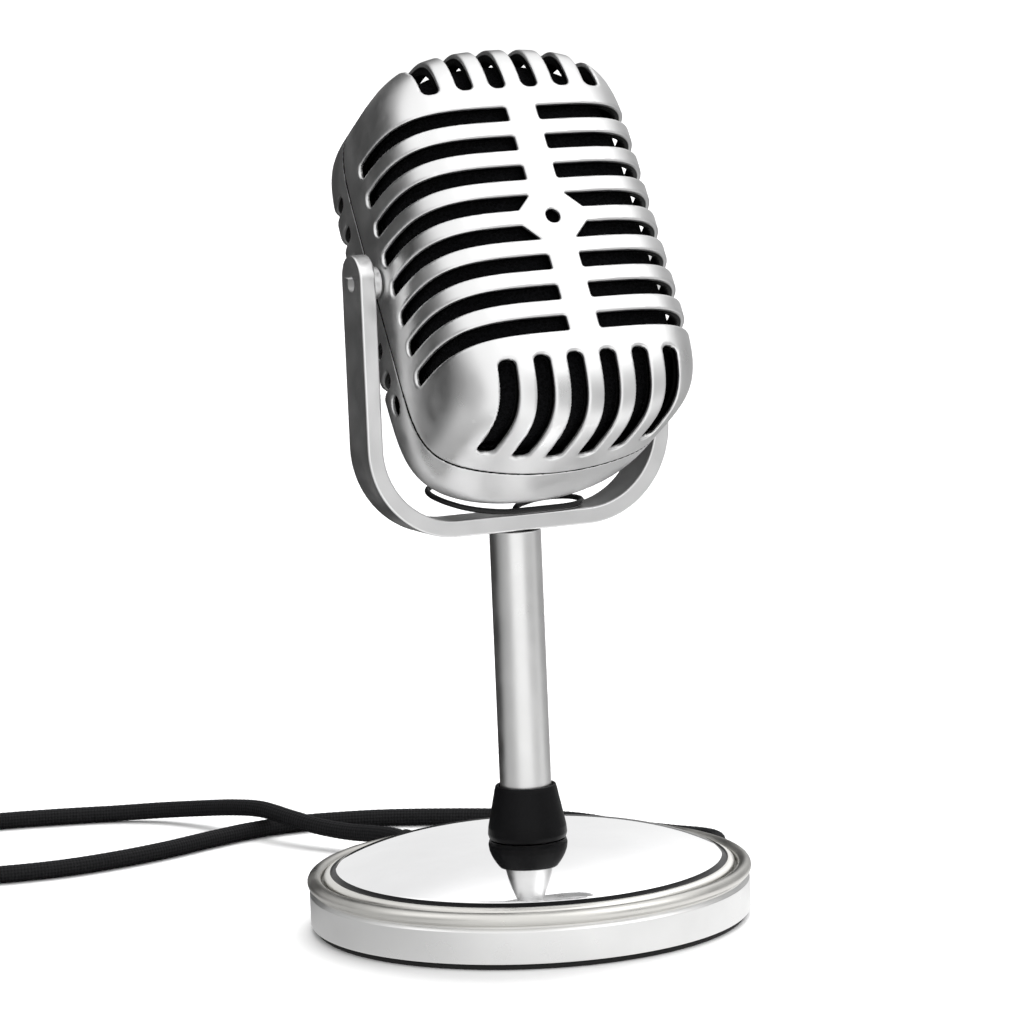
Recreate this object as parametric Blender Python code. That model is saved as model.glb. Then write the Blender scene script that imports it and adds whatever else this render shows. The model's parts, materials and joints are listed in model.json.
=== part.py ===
"""Desktop microphone: a slotted two-shell head that tilts in a yoke, on a stem and a round base.

Metres, +Z up. The origin is the middle of the base's underside and the front faces -Y.
"""
import math

import bmesh
import bpy
from mathutils import Matrix, Vector

MM = 0.001
GAP = 0.3 * MM

# Base: a turned body with a bead rim round a domed plate.
BASE_RADIUS = 47.5 * MM
WALL_RADIUS = 47.1 * MM
WALL_BOTTOM = 1.6 * MM
RIM_TOP = 11.9 * MM
BEAD_BOTTOM = 8.9 * MM
PLATE_RADIUS = 43.9 * MM
PLATE_TOP = 17.7 * MM
PLATE_DROP = 6.2 * MM
PLATE_POWER = 4
PLATE_THICKNESS = 1.0 * MM
FOOT_HEIGHT = 1.3 * MM

# Stem: a tube clamped to the plate, with a black boot at its foot.
TUBE_RADIUS = 5.5 * MM
TUBE_BORE = 4.3 * MM
TUBE_BOTTOM = 7.0 * MM
BOOT_FOOT_RADIUS = 8.5 * MM
BOOT_TOP_RADIUS = 6.7 * MM
BOOT_TOP = 29.3 * MM

# Yoke: a U of rectangular band on the tube's top.
YOKE_BOTTOM = 84.5 * MM
YOKE_HALF_WIDTH = 35.1 * MM
BAND_THICKNESS = 3.5 * MM
BAND_DEPTH = 10.0 * MM
YOKE_CORNER = 20.0 * MM
PIVOT_HEIGHT = 138.7 * MM
ARM_PAST_PIVOT = 6.0 * MM

# Head, in its own frame: origin on the pivot axis, seam plane a little behind it.
REST_TILT = math.radians(-30.4)
SEAM_Y = 2.5 * MM
HEAD_HALF_WIDTH = 29.1 * MM
HEAD_UP = 42.8 * MM
HEAD_DOWN = 45.5 * MM
FRONT_DEPTH = 30.5 * MM
REAR_DEPTH = 20.3 * MM
FRONT_POWER = 4.4
REAR_POWER = 3.5
TOP_POWER = 6.7
BOTTOM_POWER = 8.8
TOP_ARCH = 0.11
BOTTOM_ARCH = 0.136
WALL = 2.0 * MM

# Slots in the shells.
SLOTS = 8
REAR_SLOTS = 7
SLOT_PITCH = 6.9 * MM
SLOT_HEIGHT = 3.4 * MM
FIRST_SLOT_Z = 22.9 * MM
RIB_HALF_WIDTH = 3.4 * MM
FRONT_SLOT_END = 7.2 * MM
REAR_SLOT_END = 4.0 * MM
UPRIGHT_SLOTS = 6
UPRIGHT_PITCH = 7.35 * MM
UPRIGHT_WIDTH = 3.7 * MM
LOWER_SLOT_Z = -31.6 * MM
UPPER_SLOT_Z = 29.2 * MM
MIDDLE_HOLE_RADIUS = 1.6 * MM

# Inside the head: a chassis ring behind the seam, a foam core, a capsule in its sleeve.
CHASSIS_INSET = 3.3 * MM
CHASSIS_THICKNESS = 1.2 * MM
CHASSIS_AHEAD = 5.4 * MM
CHASSIS_BEHIND = 7.6 * MM
CORE_HALF = Vector((20.6, 17.5, 32.0)) * MM
CORE_MIDDLE = Vector((0, -1.0, -1.5)) * MM
LOBE_INSET = 3.1 * MM
LOBE_SOFTNESS = 0.8
LOBE_BACK_Y = -3.6 * MM
CAPSULE_FRONT = -12.0 * MM
CAPSULE_RADIUS = 4.85 * MM
SLEEVE_RADIUS = 7.0 * MM

# Pivots, the screws in the head's sides, and the hollow bolt that the yoke turns on.
STUD_RADIUS = 1.4 * MM
STUD_HOLE = 1.7 * MM
STUD_INNER = 21.6 * MM
STUD_OUTER = 33.7 * MM
SPACER_RADIUS = 3.4 * MM
NUT_THICKNESS = 2.4 * MM
SIDE_SCREW = Vector((0, 7.8, -24.8)) * MM
SIDE_HOLE_RADIUS = 2.3 * MM
SIDE_SCREW_SINK = 2.4 * MM
BOLT_RADIUS = 2.2 * MM
BOLT_BORE = 1.35 * MM
BOLT_HOLE = 2.5 * MM
BOLT_SINK = 1.6 * MM
BOLT_FLARE = 0.5 * MM
BUSH_LENGTH = 9.0 * MM

# Leads and cord.
LEAD_RADIUS = 0.6 * MM
CORD_RADIUS = 2.0 * MM
CORD_SPACING = 6.0 * MM
EXIT_Z = 5.5 * MM
RELIEF_START_Y = 42.0 * MM
RELIEF_END_Y = 66.0 * MM
COIL_CENTRE = Vector((-116.0, 138.0, 0.0)) * MM
COIL_MEAN_RADIUS = 24.0 * MM
COIL_WIDTH = 12.6 * MM
COIL_HEIGHT = 12.4 * MM

LEAD_EXIT = Vector((-7.0, 0.0, -33.2)) * MM
LEAD_EXIT_RADIUS = 1.9 * MM
RELIEF_NECK = 2.5 * MM
RELIEF_HOLE = 2.75 * MM
PLUG_GRIP_LENGTH = 23.5 * MM

# The cord's own points, in millimetres: out of the base and over itself to the coil,
# then back from the coil, round behind the base, to the plug.
CORD_OUT = [
    (0, 66.3, 5.5), (0, 72, 5.4), (-1.5, 79, 4.9), (-5, 87, 4.5), (-9, 95, 4.9), (-12.5, 104, 5.8),
    (-15.5, 114.5, 6.5), (-18.5, 125, 5.6), (-23, 136, 4.1), (-30, 146, 2.8), (-40, 153, 2.05),
    (-52, 157.5, 2.05), (-64, 161, 2.05), (-78, 163.8, 2.05), (-88, 164.6, 2.05), (-95.5, 164.4, 2.05),
]
CORD_BACK = [
    (-99.3, 109.0, 2.05), (-92, 105.6, 2.05), (-83, 102.4, 2.05), (-70, 100.8, 2.05), (-57, 102, 2.05),
    (-44, 105.1, 2.05), (-31, 109.8, 2.05), (-19, 113.4, 2.05), (-8, 114.3, 2.05), (4, 111.6, 2.05),
    (16.6, 106, 2.05), (34.8, 93, 2.05), (47.8, 78.7, 2.05), (54.2, 63.5, 2.05), (60.3, 51.6, 2.05),
    (64.5, 44.6, 2.1), (65.4, 39.4, 2.3), (63.9, 34.6, 2.6), (60.3, 31.3, 3.0), (55.2, 30.4, 3.4),
    (49.8, 33.0, 3.7),
]
PLUG_BACK = Vector((49.1, 33.5, 3.7)) * MM
PLUG_TIP = Vector((30.0, 46.6, 3.7)) * MM

# The short lead from the rear shell, looped on the yoke's floor and down its hollow bolt.
HEAD_LEAD = [
    (-7, -2.0, 101.4), (-7, 1.2, 99.5), (-7.2, 4.4, 97.6), (-8.8, 7.0, 96.0), (-12.0, 8.4, 94.8),
    (-15.4, 8.0, 94.0), (-17.4, 5.6, 93.4), (-17.6, 2.4, 92.6), (-15.9, -0.6, 91.5), (-12.7, -2.8, 90.3),
    (-8.6, -4.0, 89.4), (-4.2, -4.6, 88.85), (0.5, -4.8, 88.8), (5.5, -4.8, 88.8), (10.4, -4.4, 88.8),
    (14.2, -2.6, 88.95), (15.9, 0.6, 89.3), (14.8, 3.9, 89.55), (11.6, 5.5, 89.6), (7.6, 5.0, 89.5),
    (4.2, 3.2, 89.3), (1.8, 1.4, 89.15), (0.5, 0.4, 88.7), (0.05, 0.05, 87.6), (0, 0, 86), (0, 0, 80),
]
STEM_LEAD = [
    (0, 0, 79.6), (0, 0, 60), (0, 0, 40), (0, 0, 20), (0, 0.3, 11), (0, 2.2, 6.6), (0, 7, 5.5), (0, 16, 5.5),
    (0, 30, 5.5), (0, 41.6, 5.5),
]

ROUND = 48
SMOOTH = math.radians(32)


def clear_scene():
    for obj in list(bpy.data.objects):
        bpy.data.objects.remove(obj, do_unlink=True)


def finish(name, colour, roughness, metallic):
    """A Principled material."""
    made = bpy.data.materials.new(name)
    made.use_nodes = True
    shader = made.node_tree.nodes["Principled BSDF"]
    shader.inputs["Base Color"].default_value = (*colour, 1)
    shader.inputs["Roughness"].default_value = roughness
    shader.inputs["Metallic"].default_value = metallic
    made.diffuse_color = (*colour, 1)
    return made


def add_object(name, mesh, material, parent=None):
    obj = bpy.data.objects.new(name, mesh)
    obj.data.materials.append(material)
    obj.parent = parent
    bpy.context.scene.collection.objects.link(obj)
    return obj


def mesh_from(name, points, faces):
    """A closed mesh with its faces out, from points and faces."""
    mesh = bpy.data.meshes.new(name)
    mesh.from_pydata(points, [], faces)
    work = bmesh.new()
    work.from_mesh(mesh)
    bmesh.ops.remove_doubles(work, verts=work.verts, dist=0.00001)
    bmesh.ops.recalc_face_normals(work, faces=work.faces)
    work.to_mesh(mesh)
    work.free()
    mesh.shade_smooth()
    mesh.set_sharp_from_angle(angle=SMOOTH)
    return mesh


def turned(name, profile, material, parent=None, sides=ROUND, frame=None):
    """A closed profile of (radius, height) points turned about the Z axis of frame."""
    frame = frame or Matrix.Identity(4)
    points = []
    for turn in range(sides):
        angle = 2 * math.pi * turn / sides
        for radius, height in profile:
            points.append(frame @ Vector((radius * math.cos(angle), radius * math.sin(angle), height)))
    count = len(profile)
    faces = []
    for turn in range(sides):
        after = (turn + 1) % sides
        for at in range(count):
            nxt = (at + 1) % count
            if profile[at][0] == 0 and profile[nxt][0] == 0:
                continue
            faces.append([turn * count + at, after * count + at, after * count + nxt, turn * count + nxt])
    return add_object(name, mesh_from(name, points, faces), material, parent)


def arc(centre, radius, start, end, steps):
    """Points of an arc in a profile, angles in degrees."""
    found = []
    for step in range(steps + 1):
        angle = math.radians(start + (end - start) * step / steps)
        found.append((centre[0] + radius * math.cos(angle), centre[1] + radius * math.sin(angle)))
    return found


def disc(radius, low, high, bevel=0.0):
    """The profile of a solid disc with bevelled rims."""
    return [
        (0, low),
        (radius - bevel, low),
        (radius, low + bevel),
        (radius, high - bevel),
        (radius - bevel, high),
        (0, high),
    ] if bevel else [(0, low), (radius, low), (radius, high), (0, high)]


def ring(bore, radius, low, high, bevel=0.0):
    """The profile of a ring with bevelled outer rims."""
    if not bevel:
        return [(bore, low), (radius, low), (radius, high), (bore, high)]
    return [
        (bore, low),
        (radius - bevel, low),
        (radius, low + bevel),
        (radius, high - bevel),
        (radius - bevel, high),
        (bore, high),
    ]


def prism(name, outline, low, high, material, parent=None, frame=None):
    """An outline of (x, y) points extruded from low to high along Z of frame."""
    frame = frame or Matrix.Identity(4)
    count = len(outline)
    points = [frame @ Vector((x, y, height)) for height in (low, high) for x, y in outline]
    faces = [list(range(count)), list(range(count, 2 * count))]
    faces += [[at, (at + 1) % count, count + (at + 1) % count, count + at] for at in range(count)]
    return add_object(name, mesh_from(name, points, faces), material, parent)


def hexagon(across_flats):
    corner = across_flats / math.sqrt(3)
    return [(corner * math.cos(math.pi * k / 3), corner * math.sin(math.pi * k / 3)) for k in range(6)]


def along(origin, direction):
    """A frame whose Z axis points along direction, for turned pieces that lie down."""
    turn = Vector(direction).to_track_quat("Z", "Y").to_matrix().to_4x4()
    return Matrix.Translation(Vector(origin)) @ turn


def combine(obj, helper, operation):
    helper.hide_render = True
    helper.display_type = "WIRE"
    modifier = obj.modifiers.new(helper.name, "BOOLEAN")
    modifier.operation = operation
    modifier.solver = "EXACT"
    modifier.object = helper


def cut(obj, *cutters):
    for cutter in cutters:
        combine(obj, cutter, "DIFFERENCE")


def joined(name, objects, material):
    """Several closed meshes as one cutter object."""
    work = bmesh.new()
    for obj in objects:
        work.from_mesh(obj.data)
        bpy.data.objects.remove(obj)
    mesh = bpy.data.meshes.new(name)
    work.to_mesh(mesh)
    work.free()
    return add_object(name, mesh, material)


def smooth_route(route, spacing):
    """Points about spacing apart on a Catmull-Rom curve through the route's points."""
    knots = [Vector(p) * MM for p in route]
    knots = [2 * knots[0] - knots[1]] + knots + [2 * knots[-1] - knots[-2]]
    dense = []
    for a, b, c, d in zip(knots, knots[1:], knots[2:], knots[3:]):
        for step in range(24):
            t = step / 24
            dense.append(
                0.5 * (2 * b + (c - a) * t + (2 * a - 5 * b + 4 * c - d) * t**2 + (3 * b - a - 3 * c + d) * t**3)
            )
    dense.append(knots[-2])
    length = sum((q - p).length for p, q in zip(dense, dense[1:]))
    count = max(2, round(length / spacing))
    picked, walked, wanted = [dense[0]], 0.0, length / count
    for p, q in zip(dense, dense[1:]):
        walked += (q - p).length
        if walked >= wanted * len(picked) and len(picked) < count:
            picked.append(q)
    return picked + [dense[-1]]


def tube(name, route, radius, spacing, material):
    """A round tube along a smooth route, with closed ends."""
    curve = bpy.data.curves.new(name, "CURVE")
    curve.dimensions = "3D"
    points = smooth_route(route, spacing)
    spline = curve.splines.new("POLY")
    spline.points.add(len(points) - 1)
    for place, point in zip(spline.points, points):
        place.co = (*point, 1)
    curve.bevel_depth = radius
    curve.bevel_resolution = 2
    curve.use_fill_caps = True
    return add_object(name, curve, material)


# ---------------------------------------------------------------- head surface


def signed_power(value, power):
    return math.copysign(abs(value) ** power, value)


def head_point(turn, rise, inset, softness=1.0):
    """A point of the head's surface, inset from it. turn runs round the head, rise from bottom to top.

    A softness below 1 rounds the surface's corners further in."""
    up = HEAD_UP - inset
    down = HEAD_DOWN - inset
    wide = HEAD_HALF_WIDTH - inset
    sine, cosine = math.sin(rise), math.cos(rise)
    power = softness * (TOP_POWER if sine > 0 else BOTTOM_POWER)
    reach = (abs(sine) ** power + abs(cosine) ** power) ** (-1 / power)
    height = (up if sine > 0 else down) * reach * sine
    share = reach * cosine
    across, back = math.cos(turn), math.sin(turn)
    around = softness * (REAR_POWER if back > 0 else FRONT_POWER)
    spread = (abs(across) ** around + abs(back) ** around) ** (-1 / around)
    x = share * spread * across * wide
    y = share * spread * back * ((REAR_DEPTH if back > 0 else FRONT_DEPTH) - inset)
    arch = TOP_ARCH if sine > 0 else BOTTOM_ARCH
    return Vector((x, y + SEAM_Y, height * (1 - arch * (x / wide) ** 2)))


def half_shell(name, side, material, parent):
    """The front (side -1) or rear (side 1) half of the head's hollow shell."""
    turns, rises = 14, 16
    points, faces = [], []
    half_gap = side * GAP / 2
    for inset in (0.0, WALL):
        for i in range(turns + 1):
            turn = side * math.pi * i / turns
            for j in range(rises + 1):
                point = head_point(turn, math.pi * (j / rises - 0.5), inset)
                point.y += half_gap
                points.append(point)
    layer = (turns + 1) * (rises + 1)
    for base in (0, layer):
        for i in range(turns):
            for j in range(rises):
                corner = base + i * (rises + 1) + j
                faces.append([corner, corner + rises + 1, corner + rises + 2, corner + 1])
    for i in (0, turns):
        for j in range(rises):
            corner = i * (rises + 1) + j
            faces.append([corner, corner + 1, layer + corner + 1, layer + corner])
    return add_object(name, mesh_from(name, points, faces), material, parent)


def slot_block(low, high, material):
    """A box cutter from its low and high corners, in the head's frame with y from the seam."""
    (x0, y0, z0), (x1, y1, z1) = low, high
    outline = [(x0, y0), (x1, y0), (x1, y1), (x0, y1)]
    shift = Matrix.Translation((0, SEAM_Y, 0))
    return prism("block", outline, z0, z1, material, frame=shift)


def level_slots(side, material):
    """Cutters for the level slots, either side of the middle rib. The middle two leave a diamond."""
    far = 40 * MM
    near = FRONT_SLOT_END if side < 0 else REAR_SLOT_END
    y0, y1 = sorted((side * near, side * far))
    made = []
    for row in range(SLOTS if side < 0 else REAR_SLOTS):
        middle = FIRST_SLOT_Z - row * SLOT_PITCH
        low, high = middle - SLOT_HEIGHT / 2, middle + SLOT_HEIGHT / 2
        for hand in (-1, 1):
            if side < 0 and row in (3, 4):
                made.append(diamond_slot(hand, row == 3, low, high, y0, y1, far, material))
                continue
            x0, x1 = sorted((hand * RIB_HALF_WIDTH, hand * far))
            made.append(slot_block((x0, y0, low), (x1, y1, high), material))
    return made


def diamond_slot(hand, upper, low, high, y0, y1, far, material):
    """A slot whose inner end is cut at 45 degrees, so that four of them leave a diamond."""
    near = RIB_HALF_WIDTH + 0.5 * MM
    wide = near + SLOT_HEIGHT
    inner_low, inner_high = (wide, near) if upper else (near, wide)
    outline = [(inner_low, low), (far, low), (far, high), (inner_high, high)]
    outline = [(hand * x, z) for x, z in outline]
    stand = Matrix.Translation((0, SEAM_Y, 0)) @ Matrix.Rotation(math.pi / 2, 4, "X")
    return prism("block", outline, -y1, -y0, material, frame=stand)


def upright_slots(material):
    """Cutters for the upright slots that wrap over the head's top and under its chin."""
    far = 60 * MM
    made = []
    for column in range(UPRIGHT_SLOTS):
        middle = (column - (UPRIGHT_SLOTS - 1) / 2) * UPRIGHT_PITCH
        x0, x1 = middle - UPRIGHT_WIDTH / 2, middle + UPRIGHT_WIDTH / 2
        made.append(slot_block((x0, -far, UPPER_SLOT_Z), (x1, -FRONT_SLOT_END, far), material))
        made.append(slot_block((x0, -far, -far), (x1, -FRONT_SLOT_END, LOWER_SLOT_Z), material))
    return made


def core_lobe(foam, parent):
    """The foam core's front, which fills the front shell up to just behind its slots."""
    turns, rises = 14, 16
    depth = FRONT_DEPTH - LOBE_INSET
    shrink = (depth - SEAM_Y + LOBE_BACK_Y) / depth
    points, faces = [], []
    for i in range(turns + 1):
        for j in range(rises + 1):
            point = head_point(-math.pi * i / turns, math.pi * (j / rises - 0.5), LOBE_INSET, LOBE_SOFTNESS)
            point.y = LOBE_BACK_Y + (point.y - SEAM_Y) * shrink
            points.append(point)
    for i in range(turns):
        for j in range(rises):
            corner = i * (rises + 1) + j
            faces.append([corner, corner + rises + 1, corner + rises + 2, corner + 1])
    last = turns * (rises + 1)
    faces.append(list(range(rises + 1)) + [last + j for j in range(rises - 1, 0, -1)])
    return add_object("core_lobe", mesh_from("core_lobe", points, faces), foam, parent)


def head_core(foam, brass, rubber, parent):
    """The dark foam core inside the shells, with the capsule in its sleeve in a pocket from behind."""
    turns, rises = 20, 10
    points, faces = [], []
    for i in range(turns):
        turn = 2 * math.pi * i / turns
        for j in range(rises + 1):
            rise = math.pi * (j / rises - 0.5)
            across = signed_power(math.cos(rise), 0.5)
            x = CORE_HALF.x * across * signed_power(math.cos(turn), 0.6)
            y = CORE_HALF.y * across * signed_power(math.sin(turn), 0.6)
            points.append(CORE_MIDDLE + Vector((x, y, CORE_HALF.z * signed_power(math.sin(rise), 0.5))))
    for i in range(turns):
        for j in range(rises):
            a, b = i * (rises + 1) + j, (i + 1) % turns * (rises + 1) + j
            faces.append([a, b, b + 1, a + 1])
    core = add_object("foam_core", mesh_from("foam_core", points, faces), foam, parent)
    combine(core, core_lobe(foam, parent), "UNION")
    middle_z = FIRST_SLOT_Z - 3.5 * SLOT_PITCH
    frame = along((0, CAPSULE_FRONT, middle_z), (0, 1, 0))
    pocket = turned("core_pocket", disc(SLEEVE_RADIUS + GAP, -GAP, 40 * MM), foam, parent, sides=24, frame=frame)
    cut(core, pocket)
    length = 6.5 * MM
    turned("capsule", disc(CAPSULE_RADIUS, 0, length, 0.4 * MM), brass, parent, sides=24, frame=frame)
    sleeve = ring(CAPSULE_RADIUS + GAP, SLEEVE_RADIUS, 0.5 * MM, length + 2 * MM, 0.5 * MM)
    turned("capsule_sleeve", sleeve, rubber, parent, sides=24, frame=frame)


def chassis_ring(steel, parent):
    """The flat band inside the seam that carries the pivots' nuts and the side screws."""
    points, faces = [], []
    steps = 16
    loop = [(0.0, math.pi * (j / steps - 0.5)) for j in range(steps)]
    loop += [(math.pi, math.pi * (0.5 - j / steps)) for j in range(steps)]
    for inset in (CHASSIS_INSET, CHASSIS_INSET + CHASSIS_THICKNESS):
        for y in (SEAM_Y - CHASSIS_AHEAD, SEAM_Y + CHASSIS_BEHIND):
            for turn, rise in loop:
                point = head_point(turn, rise, inset)
                points.append(Vector((point.x, y, point.z)))
    count = len(loop)
    for k in range(count):
        n = (k + 1) % count
        for low, high in ((0, 1), (1, 3), (3, 2), (2, 0)):
            faces.append([low * count + k, low * count + n, high * count + n, high * count + k])
    return add_object("chassis_ring", mesh_from("chassis_ring", points, faces), steel, parent)


# ---------------------------------------------------------------- pieces


def make_base(chrome, satin, black, rubber, steel):
    ledge, ceiling = 10.0 * MM, 8.3 * MM
    bead = (BASE_RADIUS - 1.5 * MM, RIM_TOP - 1.5 * MM)
    profile = [
        (WALL_RADIUS - 1.9 * MM, WALL_BOTTOM),
        (WALL_RADIUS - 0.5 * MM, WALL_BOTTOM),
        (WALL_RADIUS, WALL_BOTTOM + 0.5 * MM),
        (WALL_RADIUS, BEAD_BOTTOM - 0.8 * MM),
        (WALL_RADIUS - 0.6 * MM, BEAD_BOTTOM),
        (WALL_RADIUS, BEAD_BOTTOM + 0.5 * MM),
        *arc(bead, 1.5 * MM, 0, 180, 6),
        (BASE_RADIUS - 3.0 * MM, ledge),
        (40.0 * MM, ledge),
        (40.0 * MM, ceiling),
        (WALL_RADIUS - 1.9 * MM, ceiling),
    ]
    body = turned("base_body", profile, satin)
    exit_hole = turned(
        "exit_hole", disc(RELIEF_HOLE, 0, 10 * MM), black, sides=24, frame=along((0, RELIEF_START_Y, EXIT_Z), (0, 1, 0))
    )
    cut(body, exit_hole)

    bore = TUBE_RADIUS + GAP
    radii = [bore + (PLATE_RADIUS - bore) * step / 6 for step in range(7)]
    top = [(r, plate_height(r)) for r in radii]
    under = [(r, plate_height(r) - PLATE_THICKNESS) for r in radii]
    turned("base_dome_plate", under + top[::-1], chrome)

    turned("foot_ring", ring(41.5 * MM, 46.0 * MM, 0, FOOT_HEIGHT, 0.4 * MM), rubber)
    cover = turned("bottom_cover", disc(44.8 * MM, WALL_BOTTOM, WALL_BOTTOM + 1.2 * MM), black)
    weight = turned("base_weight", ring(10 * MM, 38.5 * MM, 3.2 * MM, 9.4 * MM), steel)
    channel = prism(
        "lead_channel",
        [(-2.5 * MM, 5 * MM), (2.5 * MM, 5 * MM), (2.5 * MM, 45 * MM), (-2.5 * MM, 45 * MM)],
        2 * MM,
        11 * MM,
        black,
    )
    cut(weight, channel)
    for number in range(3):
        angle = math.radians(30 + 120 * number)
        place = Matrix.Translation((30 * MM * math.cos(angle), 30 * MM * math.sin(angle), 0))
        head_low, head_high, tip = 0.3 * MM, 1.3 * MM, 6.4 * MM
        profile = [
            (0, head_low),
            (2.0 * MM, head_low),
            (2.4 * MM, head_low + 0.4 * MM),
            (2.4 * MM, head_high),
            (1.1 * MM, head_high),
            (1.1 * MM, tip),
            (0, tip),
        ]
        turned(f"cover_screw_{number + 1}", profile, steel, sides=16, frame=place)
        hole = turned(f"screw_hole_{number + 1}", disc(1.4 * MM, 0, 6.8 * MM), black, sides=16, frame=place)
        cut(cover, hole)
        cut(weight, hole)


def plate_height(radius):
    return PLATE_TOP - PLATE_DROP * (radius / PLATE_RADIUS) ** PLATE_POWER


def make_stem(satin, black, steel):
    top = YOKE_BOTTOM - GAP
    turned("stem_tube", ring(TUBE_BORE, TUBE_RADIUS, TUBE_BOTTOM, top, 0.3 * MM), satin, sides=32)
    foot = PLATE_TOP + 0.1 * MM
    bore = TUBE_RADIUS + GAP
    profile = [
        (bore, foot),
        (BOOT_FOOT_RADIUS - 0.5 * MM, foot),
        (BOOT_FOOT_RADIUS, foot + 0.9 * MM),
        (BOOT_FOOT_RADIUS - 0.2 * MM, foot + 3.0 * MM),
        (BOOT_TOP_RADIUS + 0.7 * MM, BOOT_TOP - 4.0 * MM),
        (BOOT_TOP_RADIUS + 0.1 * MM, BOOT_TOP - 0.6 * MM),
        (BOOT_TOP_RADIUS - 0.4 * MM, BOOT_TOP),
        (bore, BOOT_TOP),
    ]
    turned("stem_boot", profile, black, sides=32)
    under = PLATE_TOP - PLATE_THICKNESS
    washer_low = under - 1.3 * MM
    turned("stem_washer", ring(bore, 9.0 * MM, washer_low, under - GAP), steel, sides=32)
    nut = prism("stem_nut", hexagon(14 * MM), washer_low - 4.5 * MM, washer_low - GAP, steel)
    cut(nut, turned("stem_nut_bore", disc(bore, 0, 20 * MM), steel, sides=32))

    turned("swivel_bush", ring(BOLT_HOLE, TUBE_BORE - GAP, top - BUSH_LENGTH, top - 0.2 * MM), black, sides=24)


def make_yoke(chrome, black, steel, swivel, pivot):
    bottom, inner = YOKE_BOTTOM, YOKE_BOTTOM + BAND_THICKNESS
    arm_top = PIVOT_HEIGHT + ARM_PAST_PIVOT
    outline = []
    corner = YOKE_CORNER
    outer_x = YOKE_HALF_WIDTH - corner
    outline += arc((-outer_x, bottom + corner), corner, 180, 270, 8)
    outline += arc((outer_x, bottom + corner), corner, 270, 360, 8)
    outline.append((YOKE_HALF_WIDTH, arm_top))
    outline.append((YOKE_HALF_WIDTH - BAND_THICKNESS, arm_top))
    inside = corner - BAND_THICKNESS
    outline += arc((outer_x, bottom + corner), inside, 360, 270, 8)
    outline += arc((-outer_x, bottom + corner), inside, 270, 180, 8)
    outline.append((-YOKE_HALF_WIDTH + BAND_THICKNESS, arm_top))
    outline.append((-YOKE_HALF_WIDTH, arm_top))
    stand = Matrix.Rotation(math.pi / 2, 4, "X")
    half_depth = BAND_DEPTH / 2
    yoke = prism("yoke", outline, -half_depth, half_depth, chrome, frame=stand)
    round_ends = arm_end_cutter(arm_top, black)
    stud_holes = turned(
        "stud_holes",
        disc(STUD_HOLE, -34.0 * MM, 34.0 * MM),
        black,
        sides=20,
        frame=along((0, 0, PIVOT_HEIGHT), (1, 0, 0)),
    )
    countersunk = [
        (0, 80 * MM),
        (BOLT_HOLE, 80 * MM),
        (BOLT_HOLE, inner - BOLT_SINK),
        (BOLT_HOLE + BOLT_SINK, inner),
        (BOLT_HOLE + BOLT_SINK, 95 * MM),
        (0, 95 * MM),
    ]
    bolt_hole = turned("yoke_hole", countersunk, black, sides=24)
    cut(yoke, round_ends, stud_holes, bolt_hole)
    seat_yoke(yoke, swivel)
    make_swivel_bolt(inner - 0.05 * MM, steel, swivel)
    for hand, label in ((-1, "left"), (1, "right")):
        make_pivot(hand, label, chrome, steel, swivel, pivot)


def make_swivel_bolt(seat, steel, swivel):
    """The hollow countersunk bolt that holds the yoke on the stem and lets the lead through, and its nut."""
    bush_foot = YOKE_BOTTOM - GAP - BUSH_LENGTH
    nut_low, nut_high = bush_foot - 2.6 * MM, bush_foot - GAP
    end = nut_low - 0.4 * MM
    profile = [
        (BOLT_BORE, end),
        (BOLT_RADIUS, end),
        (BOLT_RADIUS, seat - BOLT_SINK),
        (BOLT_RADIUS + BOLT_SINK, seat),
        (BOLT_BORE + BOLT_FLARE, seat),
        (BOLT_BORE, seat - 2 * BOLT_FLARE),
    ]
    bolt = turned("swivel_bolt", profile, steel, sides=24)
    nut = prism("swivel_nut", hexagon(7 * MM), nut_low, nut_high, steel)
    cut(nut, turned("swivel_nut_bore", disc(BOLT_HOLE, 60 * MM, 80 * MM), steel, sides=24))
    for obj in (bolt, nut):
        seat_yoke(obj, swivel)


def seat_yoke(obj, swivel):
    """Hangs a piece made in world coordinates on the swivel's empty, which sits on the stem's axis."""
    obj.data.transform(Matrix.Translation(-swivel.location))
    obj.parent = swivel


def arm_end_cutter(arm_top, material):
    """What rounds the arms' ends: a block over them less a rounded tongue."""
    half_depth = BAND_DEPTH / 2
    centre = arm_top - half_depth
    outline = [(-half_depth - MM, arm_top + MM), (-half_depth - MM, centre)]
    outline += arc((0, centre), half_depth, 180, 0, 12)
    outline += [(half_depth + MM, centre), (half_depth + MM, arm_top + MM)]
    stand = Matrix.Rotation(math.pi / 2, 4, "Z") @ Matrix.Rotation(math.pi / 2, 4, "X")
    return prism("arm_ends", outline, -40 * MM, 40 * MM, material, frame=stand)


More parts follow.
